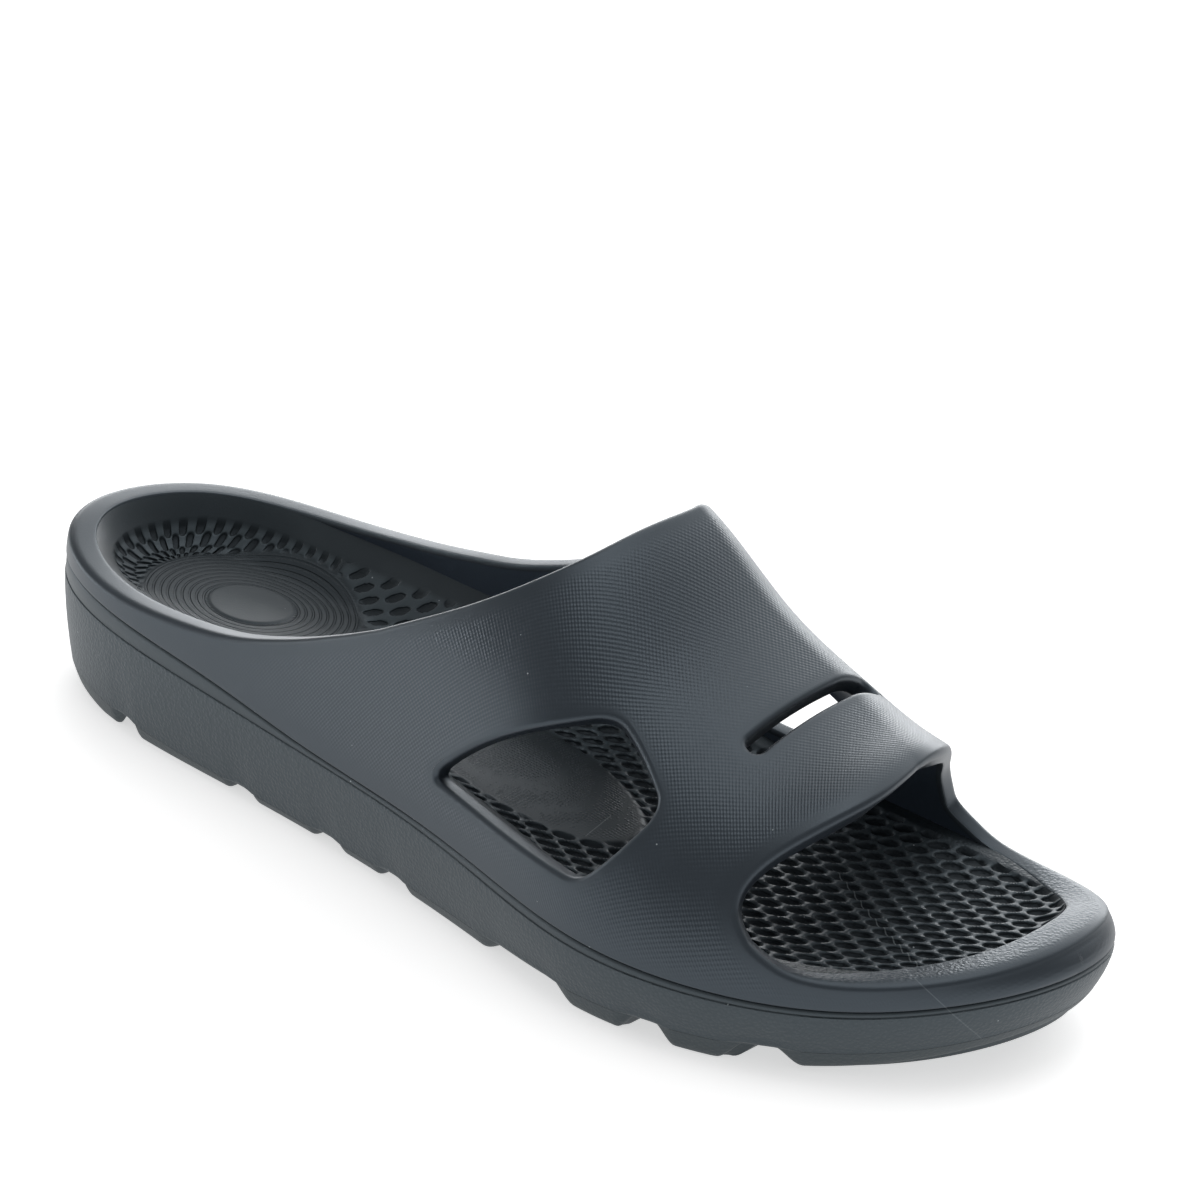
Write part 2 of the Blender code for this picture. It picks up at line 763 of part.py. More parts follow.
def outsole_patches():
    """Plate let into the midsole, and a tread body under it that reaches out over the recess."""
    angle = ring_angles()
    station = station_of(angle)
    foot = wall_foot_height(station)
    floor = lug_foot_height(station)
    plate_inset = RECESS_INSET + GAP
    lug_inset = RECESS_INSET - LUG_OVERHANG
    plate = ring(angle, plate_inset, foot + OUTSOLE_PLATE)
    tread = ring(angle, lug_inset + LUG_DRAFT + LUG_ROUND, floor)
    rows = []
    for share in (1.0, 0.5, 0.0):
        row = toward_middle(plate, angle, share, 0)
        row[:, 2] = wall_foot_height(row[:, 0] / SHOE_LENGTH) + OUTSOLE_PLATE
        rows.append(row)
    rows.append(ring(angle, plate_inset, foot - GAP))
    rows.append(ring(angle, lug_inset, foot - GAP))
    rows.append(ring(angle, lug_inset + LUG_DRAFT, floor + LUG_ROUND))
    for share in (0.0, 0.5, 1.0):
        row = toward_middle(tread, angle, share, 0)
        row[:, 2] = lug_foot_height(row[:, 0] / SHOE_LENGTH)
        rows.append(row)
    return [closed(np.stack(rows))]


def channel_outline(start, end):
    """Side view of a flex channel: soft flared sides and a roof just over the wall's foot."""
    centre = (start + end) / 2 * SHOE_LENGTH
    half = (end - start) / 2 * SHOE_LENGTH
    roof = float(wall_foot_height((start + end) / 2)) + GAP
    flare = min(1.0, 2 * half / FULL_FLARE_WIDTH)
    reach = [(half + side * flare, roof * share) for share, side in CHANNEL_SIDES]
    reach.insert(0, (reach[0][0] + flare, -CUTTER_MARGIN))
    left = [(centre - out, height) for out, height in reach]
    right = [(centre + out, height) for out, height in reversed(reach)]
    return left + right


def make_outsole():
    """Lugged outsole: tread body cut by flex channels and one lengthwise channel."""
    body = body_from_patches("outsole", outsole_patches(), OUTSOLE_FINISH)
    for number, (start, end) in enumerate(FLEX_CHANNELS):
        name = "flex_cutter_" + str(number)
        cut(body, cutter_from_outline(name, channel_outline(start, end), -BALL_WIDTH, BALL_WIDTH, 1))
    half = CHANNEL_WIDTH / 2
    centre = float(middle_line(angle_of(np.array([0.5])))[0, 1])
    sides = ((half + 1, -CUTTER_MARGIN), (half, CHANNEL_DEPTH - 1), (half - 1.5, CHANNEL_DEPTH))
    trough = [(centre - out, height) for out, height in sides]
    trough += [(centre + out, height) for out, height in reversed(sides)]
    start = FLEX_CHANNELS[0][0] * SHOE_LENGTH + 1
    end = FLEX_CHANNELS[-1][1] * SHOE_LENGTH - 1
    cut(body, cutter_from_outline("channel_cutter", trough, start, end, 0))
    return body


def main():
    for thing in list(bpy.data.objects):
        bpy.data.objects.remove(thing)
    make_upper()
    body_from_patches("insole", insole_patches(), INSOLE_FINISH)
    body_from_patches("midsole", midsole_patches(), MIDSOLE_FINISH)
    make_outsole()
    reach = outline(np.linspace(0, 2 * math.pi, 1441))
    low = reach.min(0)
    high = reach.max(0)
    for thing in bpy.data.objects:
        thing.location.x = -(low[0] + high[0]) / 2 * MM
        thing.location.y = -(low[1] + high[1]) / 2 * MM


main()
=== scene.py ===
"""Looks of a moulded foam slide sandal for the right foot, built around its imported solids.

Lengths are millimetres on the last: x runs from the heel to the toe, y to the inner side and
z up from the floor. A finished mesh is written in metres in the row's own frame.
"""

import logging
import math
from dataclasses import dataclass, field
from enum import Enum
from typing import Any

import bmesh
import bpy
import numpy as np
from mathutils import Matrix, Vector


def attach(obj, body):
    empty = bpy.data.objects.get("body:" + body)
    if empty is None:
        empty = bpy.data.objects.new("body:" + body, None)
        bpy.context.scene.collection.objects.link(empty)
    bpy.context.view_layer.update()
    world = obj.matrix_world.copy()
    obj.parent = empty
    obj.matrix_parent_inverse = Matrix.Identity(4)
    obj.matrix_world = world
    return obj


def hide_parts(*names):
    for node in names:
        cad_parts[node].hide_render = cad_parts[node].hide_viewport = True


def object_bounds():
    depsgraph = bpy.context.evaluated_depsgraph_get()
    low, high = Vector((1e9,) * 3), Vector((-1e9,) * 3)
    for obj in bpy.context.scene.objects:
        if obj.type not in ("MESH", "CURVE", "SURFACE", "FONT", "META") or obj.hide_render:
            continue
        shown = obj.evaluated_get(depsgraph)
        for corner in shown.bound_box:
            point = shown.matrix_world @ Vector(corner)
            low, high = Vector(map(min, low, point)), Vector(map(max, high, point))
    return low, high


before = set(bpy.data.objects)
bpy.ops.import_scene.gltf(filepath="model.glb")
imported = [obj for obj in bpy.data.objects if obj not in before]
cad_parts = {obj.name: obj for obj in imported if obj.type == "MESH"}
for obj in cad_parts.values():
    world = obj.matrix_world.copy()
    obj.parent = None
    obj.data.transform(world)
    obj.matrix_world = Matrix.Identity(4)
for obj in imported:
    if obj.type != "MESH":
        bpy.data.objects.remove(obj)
PACKED_LOW, PACKED_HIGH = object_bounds()

Rows = tuple[tuple[float, ...], ...]
Pair = tuple[float, float]
Colour = tuple[float, float, float]
Array = np.ndarray

MM = 0.001
TAU = 2 * math.pi
WELD = 0.002
SHARP_ANGLE = 38.0
GAP = 0.3
HALVINGS = 40
SMALL = 1e-4
LOG = logging.getLogger("sandal")


class Side(Enum):
    """The two sides of the shoe; the value is the side's column in the tables."""

    OUTER = 1
    INNER = 2

    @property
    def turn(self) -> float:
        """Sign of the angles round the outline on this side."""
        return 1.0 if self is Side.OUTER else -1.0


def natural_spline(xs: Array, ys: Array, at: Array) -> Array:
    """Cubic spline through points, with no bend at its two ends.

    Args:
        xs: rising places of the points.
        ys: their values.
        at: places to read.

    Returns:
        The spline's values at those places.
    """
    count = len(xs)
    step = np.diff(xs)
    slope = np.diff(ys) / step
    matrix = np.eye(count)
    right = np.zeros(count)
    for i in range(1, count - 1):
        matrix[i, i - 1:i + 2] = step[i - 1], 2 * (step[i - 1] + step[i]), step[i]
        right[i] = 6 * (slope[i] - slope[i - 1])
    bend = np.linalg.solve(matrix, right)
    at = np.asarray(at, float)
    i = np.clip(np.searchsorted(xs, at, side="right") - 1, 0, count - 2)
    before = xs[i + 1] - at
    after = at - xs[i]
    h = step[i]
    cubic = (bend[i] * before ** 3 + bend[i + 1] * after ** 3) / (6 * h)
    cubic = cubic + (ys[i] / h - bend[i] * h / 6) * before
    return cubic + (ys[i + 1] / h - bend[i + 1] * h / 6) * after


def curve(rows: Rows, column: int, at: Array) -> Array:
    """Value of the smooth curve through one column of a table at the given places."""
    table = np.array(rows, float)
    return natural_spline(table[:, 0], table[:, column], np.clip(at, table[0, 0], table[-1, 0]))


def smooth_step(value: Array, start: float, end: float) -> Array:
    """0 before start, 1 after end, and a soft ramp between them."""
    share = np.clip((value - start) / (end - start), 0.0, 1.0)
    return share * share * (3 - 2 * share)


def stretch(value: Array, start: Pair, end: Pair) -> Array:
    """1 on a stretch and 0 off it, with soft ramps up over start and down over end."""
    return smooth_step(value, *start) * smooth_step(-value, -end[1], -end[0])


def unit(vectors: Array) -> Array:
    """Vectors of length one, each in its own direction."""
    return vectors / np.linalg.norm(vectors, axis=-1, keepdims=True)


def closed(rows: Array) -> Array:
    """Rows of points with the first point of each repeated at its end."""
    return np.concatenate([rows, rows[:, :1]], 1)


def lifted(plan: Array, height: Array) -> Array:
    """Plan points with a height added to each."""
    return np.concatenate([plan, np.broadcast_to(height, plan.shape[:-1])[..., None]], -1)


def resample(run: Array, count: int) -> Array:
    """A run of points with count even steps along its length, its last point left out."""
    lengths = np.concatenate([[0.0], np.cumsum(np.linalg.norm(np.diff(run, axis=0), axis=1))])
    at = np.linspace(0, lengths[-1], count + 1)[:-1]
    return np.stack([np.interp(at, lengths, run[:, k]) for k in range(run.shape[1])], -1)


@dataclass(frozen=True)
class Last:
    """The shape that all the pieces share: the sole's outline, its side lines and the vault."""

    length: float
    ball_width: float = 101.0
    heel_height: float = 29.6
    instep_rise: float = 70.0
    collar_rise: float = 60.0
    ledge_rise: float = 5.1
    lug_height: float = 5.6
    strap_wall: float = 4.4
    heel_rim_width: float = 7.0
    toe_ledge_width: float = 10.0
    strap_rear: float = 0.425
    strap_front: float = 0.830
    # Lift of a rib's lower handle and hold of its upper one, as shares of rise and run
    outer_shoulder: Pair = (0.68, 0.54)
    inner_shoulder: Pair = (0.50, 0.42)
    # Stations where the ribs start and end to run straight across, and the least run elsewhere
    across_start: Pair = (0.12, 0.35)
    across_end: Pair = (0.80, 0.97)
    least_run: float = 0.4
    # Stations where both sides' ribs start and end to be drawn onto one crest
    draw_start: Pair = (0.50, 0.80)
    draw_end: Pair = (0.90, 0.96)
    # Stations where the wall starts and ends to lean with the vault
    lean_start: Pair = (0.22, 0.42)
    lean_end: Pair = (0.82, 0.90)
    # Ways up the ribs over which a level foot turns into the lean, and stations of the middle line
    level_foot: Pair = (-0.001, 0.08)
    middle_reach: Pair = (0.09, 0.93)
    # Station, then reach to the outer and the inner side as shares of the ball width
    outline_rows: Rows = (
        (0.000, 0.000, 0.000),
        (0.040, -0.236, 0.260),
        (0.130, -0.341, 0.363),
        (0.280, -0.377, 0.357),
        (0.420, -0.416, 0.336),
        (0.560, -0.490, 0.397),
        (0.700, -0.561, 0.441),
        (0.820, -0.488, 0.466),
        (0.920, -0.305, 0.446),
        (0.975, -0.121, 0.347),
        (1.000, 0.122, 0.122),
    )
    # Station, then heights of the parting line and of the groove as shares of the heel height
    side_rows: Rows = (
        (0.00, 1.000, 1.159),
        (0.15, 0.885, 1.037),
        (0.25, 0.814, 0.945),
        (0.35, 0.753, 0.820),
        (0.50, 0.713, 0.770),
        (0.65, 0.618, 0.696),
        (0.80, 0.561, 0.622),
        (0.92, 0.611, 0.659),
        (1.00, 0.764, 0.811),
    )
    # Station, height of the wall's foot as a share of the heel height, share of the lug height
    foot_rows: Rows = (
        (0.00, 0.196, 0.80),
        (0.05, 0.213, 0.95),
        (0.12, 0.172, 1.00),
        (0.70, 0.169, 1.00),
        (0.85, 0.203, 0.95),
        (0.95, 0.321, 0.70),
        (1.00, 0.459, 0.60),
    )
    # Station, rise of the vault as a share of the instep rise, side shift of its crest
    vault_rows: Rows = (
        (0.00, 0.396, 0.020),
        (0.20, 0.779, 0.040),
        (0.35, 1.039, 0.079),
        (0.50, 1.117, 0.119),
        (0.60, 1.007, 0.124),
        (0.66, 0.837, 0.124),
        (0.74, 0.698, 0.119),
        (0.80, 0.644, 0.079),
        (0.86, 0.618, 0.030),
        (0.93, 0.401, 0.059),
        (1.00, 0.200, 0.119),
    )
    # Station, rise of the collar on the outer and the inner side as shares of the collar rise
    collar_rows: Rows = (
        (0.000, 0.075, 0.075),
        (0.100, 0.056, 0.106),
        (0.200, 0.113, 0.180),
        (0.280, 0.226, 0.293),
        (0.310, 0.296, 0.348),
        (0.338, 0.366, 0.399),
        (0.368, 0.445, 0.450),
        (0.397, 0.520, 0.503),
        (0.426, 0.597, 0.556),
        (0.480, 0.750, 0.700),
    )
    # Way up the vault, station of the strap's rear edge on the outer and the inner side
    rear_rows: Rows = (
        (0.32, 0.463, 0.444),
        (0.39, 0.501, 0.483),
        (0.47, 0.532, 0.519),
        (0.58, 0.560, 0.553),
        (0.69, 0.577, 0.573),
        (0.80, 0.586, 0.585),
        (0.90, 0.591, 0.590),
        (1.00, 0.593, 0.593),
    )
    # Station, rise of the toe ledge on the outer and the inner side as shares of the ledge rise
    ledge_rows: Rows = (
        (0.780, 4.20, 3.20),
        (0.800, 3.40, 2.35),
        (0.820, 2.70, 1.60),
        (0.835, 2.10, 1.28),
        (0.855, 1.42, 1.10),
        (0.880, 1.06, 1.02),
        (0.910, 0.98, 0.99),
        (0.950, 0.97, 0.97),
        (1.000, 1.00, 1.00),
    )
    # Way up the vault, station of the strap's front edge on the outer and the inner side
    front_rows: Rows = (
        (0.20, 0.817, 0.794),
        (0.26, 0.811, 0.790),
        (0.33, 0.811, 0.791),
        (0.42, 0.818, 0.796),
        (0.53, 0.832, 0.808),
        (0.64, 0.846, 0.822),
        (0.80, 0.861, 0.844),
        (0.92, 0.864, 0.857),
        (1.00, 0.863, 0.863),
    )
    # Station, then wall thickness as shares of the heel rim, the strap wall and the toe ledge
    wall_rows: Rows = (
        (0.00, 1.0, 0.0, 0.0),
        (0.12, 0.9, 0.0, 0.0),
        (0.30, 0.2, 0.8, 0.0),
        (0.42, 0.0, 1.0, 0.0),
        (0.80, 0.0, 1.0, 0.0),
        (0.86, 0.0, 0.9, 0.1),
        (0.92, 0.0, 0.3, 0.7),
        (1.00, 0.0, 0.0, 1.0),
    )

    def angle_of(self, station: Array) -> Array:
        """Angle round the outline at which the outer side reaches a station."""
        return np.arccos(1 - 2 * np.clip(station, 0.0, 1.0))

    def station_of(self, angle: Array) -> Array:
        """Share of the length at an angle round the outline."""
        return (1 - np.cos(angle)) / 2

    def is_outer(self, angle: Array) -> Array:
        """True on the outer side, whose angles run from 0 at the heel to half a turn."""
        return np.mod(angle, TAU) <= math.pi

    def outline(self, angle: Array) -> Array:
        """Plan point of the sole's widest line: a closed spline through the outline rows."""
        rows = np.array(self.outline_rows)
        knots = self.angle_of(rows[:, 0])
        xs = np.concatenate([knots, TAU - knots[-2:0:-1]])
        ys = np.concatenate([rows[:, 1], rows[-2:0:-1, 2]]) * self.ball_width
        wrap = 3
        xs = np.concatenate([xs[-wrap:] - TAU, xs, xs[:wrap + 1] + TAU])
        ys = np.concatenate([ys[-wrap:], ys, ys[:wrap + 1]])
        y = natural_spline(xs, ys, np.mod(angle, TAU))
        return np.stack([self.length * self.station_of(angle), y], -1)

    def inward(self, angle: Array) -> Array:
        """Unit plan vector from the outline to the inside of the shoe."""
        run = unit(self.outline(angle + SMALL) - self.outline(angle - SMALL))
        return np.stack([-run[..., 1], run[..., 0]], -1)

    def ring(self, angle: Array, inset: Array, height: Array) -> Array:
        """Points at a distance inside the outline, at a height."""
        plan = self.outline(angle) + self.inward(angle) * np.asarray(inset)[..., None]
        return lifted(plan, height)

    def even_angles(self, count: int) -> Array:
        """Angles that step evenly along the outline's length, from the heel round to it."""
        fine = np.linspace(0, TAU, 4001)
        steps = np.linalg.norm(np.diff(self.outline(fine), axis=0), axis=1)
        run = np.concatenate([[0.0], np.cumsum(steps)])
        return np.interp(np.linspace(0, run[-1], count + 1)[:-1], run, fine)

    def parting(self, station: Array) -> Array:
        """Height of the parting line."""
        return self.heel_height * curve(self.side_rows, 1, station)

    def groove(self, station: Array) -> Array:
        """Height of the groove under the upper."""
        return self.heel_height * curve(self.side_rows, 2, station)

    def wall_foot(self, station: Array) -> Array:
        """Height of the side wall's lower edge."""
        return self.heel_height * curve(self.foot_rows, 1, station)

    def lug_foot(self, station: Array) -> Array:
        """Height of the lugs' underside: on the floor, but rising at heel and toe."""
        lug = self.lug_height * curve(self.foot_rows, 2, station)
        return np.maximum(self.wall_foot(station) - lug, 0.0)

    def wall(self, station: Array) -> Array:
        """Thickness of the upper: rim at the heel, wall in the strap, ledge at the toe."""
        rim = self.heel_rim_width * curve(self.wall_rows, 1, station)
        strap = self.strap_wall * curve(self.wall_rows, 2, station)
        return rim + strap + self.toe_ledge_width * curve(self.wall_rows, 3, station)

    def rib_plan(self, angle: Array) -> tuple[Array, Array]:
        """Plan of a rib: its foot on the outline, and the run from there to the crest."""
        station = self.station_of(angle)
        plan = self.outline(angle)
        side = np.where(self.is_outer(angle), 1.0, -1.0)
        across = stretch(station, self.across_start, self.across_end)
        lead = self.inward(angle) * (1 - across)[..., None]
        lead[..., 1] += side * across
        reach = np.abs(self.ball_width * curve(self.vault_rows, 2, station) - plan[..., 1])
        least = self.least_run * self.ball_width * (1 - across) + reach * across
        reach = np.where(across > 0.999, reach, np.maximum(reach, least))
        return plan, unit(lead) * reach[..., None]

    def vault_point(self, angle: Array, way: Array) -> Array:
        """Point of the upper's outer surface.

        Each rib is a cubic with handles straight up from the groove and level at the crest.
        In front of the instep the ribs of both sides are drawn together onto the crest.

        Args:
            angle: angle round the outline where the rib stands.
            way: 0 at the groove to 1 at the crest.

        Returns:
            Points on the last.
        """
        station = self.station_of(angle)
        plan, run = self.rib_plan(angle)
        other_plan, other_run = self.rib_plan(-angle)
        draw = stretch(station, self.draw_start, self.draw_end) / 2
        together = (other_plan + other_run - plan - run) * draw[..., None]
        rise = self.instep_rise * curve(self.vault_rows, 1, station)
        outer = smooth_step(np.sin(angle), -0.5, 0.5)
        lift, hold = (inside + (outside - inside) * outer
                      for inside, outside in zip(self.inner_shoulder, self.outer_shoulder))
        first = 3 * (1 - way) ** 2 * way
        second = 3 * (1 - way) * way ** 2
        third = way ** 3
        inset = second * (1 - hold) + third
        height = self.groove(station) + (first * lift + second + third) * rise
        return lifted(plan + run * inset[..., None] + together * (second + third)[..., None], height)

    def vault_normal(self, angle: Array, way: Array) -> Array:
        """Unit vector out of the vault, held level along its foot, heel rim and toe ledge."""
        low = np.clip(way - SMALL, 0.0, 1.0)
        high = np.clip(way + SMALL, 0.0, 1.0)
        up = self.vault_point(angle, high) - self.vault_point(angle, low)
        along = self.vault_point(angle + SMALL, way) - self.vault_point(angle - SMALL, way)
        normal = np.cross(along, up)
        station = self.station_of(angle)
        leaning = stretch(station, self.lean_start, self.lean_end)
        normal[..., 2] *= smooth_step(way, *self.level_foot) * leaning
        return unit(normal)

    def way_to_rise(self, angle: Array, rise: Array) -> Array:
        """Way up the ribs at which the vault stands a given height over the groove."""
        low = np.zeros(np.shape(angle))
        high = np.ones(np.shape(angle))
        base = self.groove(self.station_of(angle))
        for _ in range(HALVINGS):
            middle = (low + high) / 2
            below = self.vault_point(angle, middle)[..., 2] - base < rise
            low = np.where(below, middle, low)
            high = np.where(below, high, middle)
        return (low + high) / 2

    def edge_way(self, rows: Rows, size: float, angle: Array) -> Array:
        """Way up the ribs of an edge whose rises on both sides stand in a table."""
        station = self.station_of(angle)
        rises = [size * curve(rows, side.value, station) for side in Side]
        return self.way_to_rise(angle, np.where(self.is_outer(angle), rises[0], rises[1]))

    def collar_way(self, angle: Array) -> Array:
        """Way up the ribs of the collar's edge, from the heel to the strap."""
        return self.edge_way(self.collar_rows, self.collar_rise, angle)

    def ledge_way(self, angle: Array) -> Array:
        """Way up the ribs of the toe ledge's edge."""
        return self.edge_way(self.ledge_rows, self.ledge_rise, angle)

    def girth_point(self, station: Array, girth: Array) -> Array:
        """Point of the vault at a station and a girth, 0 at the outer groove to 2 at the inner."""
        angle = self.angle_of(station) * np.where(girth <= 1, 1.0, -1.0)
        return self.vault_point(angle, 1 - np.abs(1 - girth))

    def girth_normal(self, station: Array, girth: Array) -> Array:
        """Unit vector out of the vault at a station and a girth."""
        angle = self.angle_of(station) * np.where(girth <= 1, 1.0, -1.0)
        return self.vault_normal(angle, 1 - np.abs(1 - girth))

    def middle(self, angle: Array) -> Array:
        """Plan point on the shoe's middle line that a ring closes on."""
        rim = self.angle_of(np.clip(self.station_of(angle), *self.middle_reach))
        return (self.outline(rim) + self.outline(-rim)) / 2

    def centre(self) -> Array:
        """Plan point of the last that lies at the origin of the row's frame."""
        reach = self.outline(np.linspace(0, TAU, 1441))
        return (reach.min(0) + reach.max(0)) / 2


@dataclass
class Shell:
    """Grids of points on the last, welded into one closed mesh with values at its corners."""

    last: Last
    layers: tuple[str, ...] = ()
    points: list[Array] = field(default_factory=list)
    quads: list[Array] = field(default_factory=list)
    values: dict[str, list[Array]] = field(default_factory=dict)
    count: int = 0

    def add(self, grid: Array, keep: Array | None = None, **values: Array) -> None:
        """Add a grid of points.

        Args:
            grid: rows of points.
            keep: for each cell, whether it is kept; all are if left out.
            values: a number for each point of each layer named; 0 for a layer left out.
        """
        rows, columns = grid.shape[:2]
        index = np.arange(rows * columns).reshape(rows, columns) + self.count
        cells = np.stack([index[:-1, :-1], index[1:, :-1], index[1:, 1:], index[:-1, 1:]], -1)
        self.quads.append(cells.reshape(-1, 4) if keep is None else cells[keep])
        self.points.append(grid.reshape(-1, 3))
        for name in self.layers:
            layer = np.broadcast_to(values.get(name, 0.0), (rows, columns))
            self.values.setdefault(name, []).append(layer.ravel())
        self.count += rows * columns

    def make(self, name: str) -> bpy.types.Object:
        """Weld the grids and return the object, its place in its mesh and its faces outward."""
        points = np.concatenate(self.points)
        quads = np.concatenate(self.quads)
        keys = np.round(points / WELD).astype(np.int64)
        _, first, index = np.unique(keys, axis=0, return_index=True, return_inverse=True)
        index = index.reshape(-1)
        welded = index[quads]
        kept = welded != np.roll(welded, -1, 1)
        whole = kept.sum(1) >= 3
        kept = kept & whole[:, None]
        corners = quads[kept]
        sizes = kept.sum(1)[whole]
        used, vertex = np.unique(index[corners], return_inverse=True)
        place = points[first[used]].copy()
        place[:, :2] -= self.last.centre()
        mesh = bpy.data.meshes.new(name)
        mesh.vertices.add(len(used))
        mesh.vertices.foreach_set("co", (place * MM).astype(np.float32).ravel())
        mesh.loops.add(len(corners))
        mesh.loops.foreach_set("vertex_index", vertex.reshape(-1).astype(np.int32))
        mesh.polygons.add(len(sizes))
        starts = np.concatenate([[0], np.cumsum(sizes)[:-1]]).astype(np.int32)
        mesh.polygons.foreach_set("loop_start", starts)
        mesh.update(calc_edges=True)
        for layer, parts in self.values.items():
            data = np.concatenate(parts)[corners].astype(np.float32)
            mesh.attributes.new(layer, "FLOAT", "CORNER").data.foreach_set("value", data)
        shape = bmesh.new()
        shape.from_mesh(mesh)
        bmesh.ops.recalc_face_normals(shape, faces=shape.faces)
        shape.to_mesh(mesh)
        shape.free()
        mesh.shade_smooth()
        mesh.set_sharp_from_angle(angle=math.radians(SHARP_ANGLE))
        made = bpy.data.objects.new(name, mesh)
        bpy.context.scene.collection.objects.link(made)
        return made


class Link:
    """A shader socket that takes part in a Python expression."""

    def __init__(self, graph: "Graph", socket: bpy.types.NodeSocket) -> None:
        """Keep the graph and the socket."""
        self.graph = graph
        self.socket = socket

    def __add__(self, other: "Link | float") -> "Link":
        """Sum."""
        return self.graph.math("ADD", self, other)

    def __sub__(self, other: "Link | float") -> "Link":
        """Difference."""
        return self.graph.math("SUBTRACT", self, other)

    def __rsub__(self, other: float) -> "Link":
        """Difference from a number."""
        return self.graph.math("SUBTRACT", other, self)

    def __mul__(self, other: "Link | float") -> "Link":
        """Product."""
        return self.graph.math("MULTIPLY", self, other)

    def __gt__(self, other: "Link | float") -> "Link":
        """1 where this is greater, else 0."""
        return self.graph.math("GREATER_THAN", self, other)

    __radd__ = __add__
    __rmul__ = __mul__


Value = Link | float | tuple[float, ...]


class Graph:
    """The nodes of one material, built from expressions."""

    def __init__(self, name: str) -> None:
        """Make a material with its Principled shader.

        Args:
            name: the material's name.
        """
        self.material = bpy.data.materials.new(name)
        self.material.use_nodes = True
        self.nodes = self.material.node_tree.nodes
        self.links = self.material.node_tree.links
        self.shader = self.nodes["Principled BSDF"]
        self.place = self.scaled(self.node("ShaderNodeTexCoord", output="Object"), 1 / MM)

    def put(self, socket: bpy.types.NodeSocket, value: Value) -> None:
        """Set a socket to a number or colour, or link it."""
        if isinstance(value, Link):
            self.links.new(value.socket, socket)
        elif isinstance(value, tuple) and socket.type == "RGBA" and len(value) == 3:
            socket.default_value = (*value, 1.0)
        else:
            socket.default_value = value

    def node(self, kind: str, settings: dict[str, Any] | None = None,
             inputs: dict[str | int, Value] | None = None, output: str | int = 0) -> Link:
        """Add a node.

        Args:
            kind: the node's type.
            settings: its properties, set before its sockets.
            inputs: values or links by socket name or number.
            output: the socket to return.

        Returns:
            The chosen output.
        """
        made = self.nodes.new(kind)
        for name, value in (settings or {}).items():
            setattr(made, name, value)
        for name, value in (inputs or {}).items():
            self.put(made.inputs[name], value)
        return Link(self, made.outputs[output])

    def math(self, operation: str, *values: Value) -> Link:
        """Maths node on one, two or three values."""
        return self.node("ShaderNodeMath", {"operation": operation}, dict(enumerate(values)))

    def vector(self, operation: str, inputs: dict[str | int, Value], output: str | int = 0) -> Link:
        """Vector maths node."""
        return self.node("ShaderNodeVectorMath", {"operation": operation}, inputs, output)

    def scaled(self, vector: Link, factor: float) -> Link:
        """A vector times a number."""
        return self.vector("SCALE", {0: vector, "Scale": factor})

    def ramp(self, value: Value, start: float, end: float) -> Link:
        """Soft ramp from 0 at start to 1 at end."""
        return self.node("ShaderNodeMapRange", {"interpolation_type": "SMOOTHSTEP"},
                         {"Value": value, "From Min": start, "From Max": end})

    def noise(self, size: float, detail: float = 2.0, output: str | int = 0) -> Link:
        """Noise whose features are about size millimetres across."""
        return self.node("ShaderNodeTexNoise", None,
                         {"Vector": self.place, "Scale": 1 / size, "Detail": detail}, output)

    def cells(self, size: float, output: str = "Distance", randomness: float = 1.0,
              vector: Link | None = None) -> Link:
        """Cell pattern with cells about size millimetres across."""
        inputs = {"Vector": vector or self.place, "Scale": 1 / size, "Randomness": randomness}
        return self.node("ShaderNodeTexVoronoi", None, inputs, output)

    def layer(self, name: str) -> Link:
        """A number kept at the mesh's corners."""
        return self.node("ShaderNodeAttribute", {"attribute_name": name}, output="Fac")

    def wave(self, phase: Link) -> Link:
        """Cosine of a phase counted in whole turns."""
        return self.math("COSINE", phase * TAU)

    def blend(self, share: Value, first: Value, second: Value) -> Link:
        """Colour that goes from first to second as share goes from 0 to 1."""
        made = self.nodes.new("ShaderNodeMix")
        made.data_type = "RGBA"
        sockets = [socket for socket in made.inputs if socket.type == "RGBA"]
        self.put(made.inputs["Factor"], share)
        self.put(sockets[0], first)
        self.put(sockets[1], second)
        return Link(self, next(socket for socket in made.outputs if socket.type == "RGBA"))

    def dot(self, vector: Link, direction: Vector) -> Link:
        """Dot product of a vector with a fixed direction."""
        return self.vector("DOT_PRODUCT", {0: vector, 1: tuple(direction)}, "Value")

    def scratch(self, scratch: "Scratch") -> Link:
        """1 on a thin straight scratch, 0 away from it.

        The mask is 1 near the plane through the scratch and its facing direction, between
        the planes that end it, with a tremble of fine noise.
        """
        start = Vector(scratch.start)
        run = Vector(scratch.end) - start
        across = run.cross(Vector(scratch.facing)).normalized()
        offset = self.vector("SUBTRACT", {0: self.place, 1: scratch.start})
        share = self.dot(offset, run / run.length_squared)
        tremble = (self.noise(scratch.bend_length) - 0.5) * scratch.bend
        gap = self.math("ABSOLUTE", self.dot(offset, across) + tremble)
        ends = self.ramp(share, 0.0, scratch.taper) * (1 - self.ramp(share, 1 - scratch.taper, 1.0))
        core = scratch.width * scratch.core_share
        return (1 - self.ramp(gap, core, scratch.width)) * ends * scratch.strength

    def finish(self, colour: Value, roughness: Value, height: Link) -> bpy.types.Material:
        """Link the shader's colour, roughness and relief, the relief's height in millimetres."""
        relief = {"Height": height, "Distance": MM, "Strength": 1.0}
        normal = self.node("ShaderNodeBump", None, relief)
        self.put(self.shader.inputs["Base Color"], colour)
        self.put(self.shader.inputs["Roughness"], roughness)
        self.put(self.shader.inputs["Normal"], normal)
        return self.material


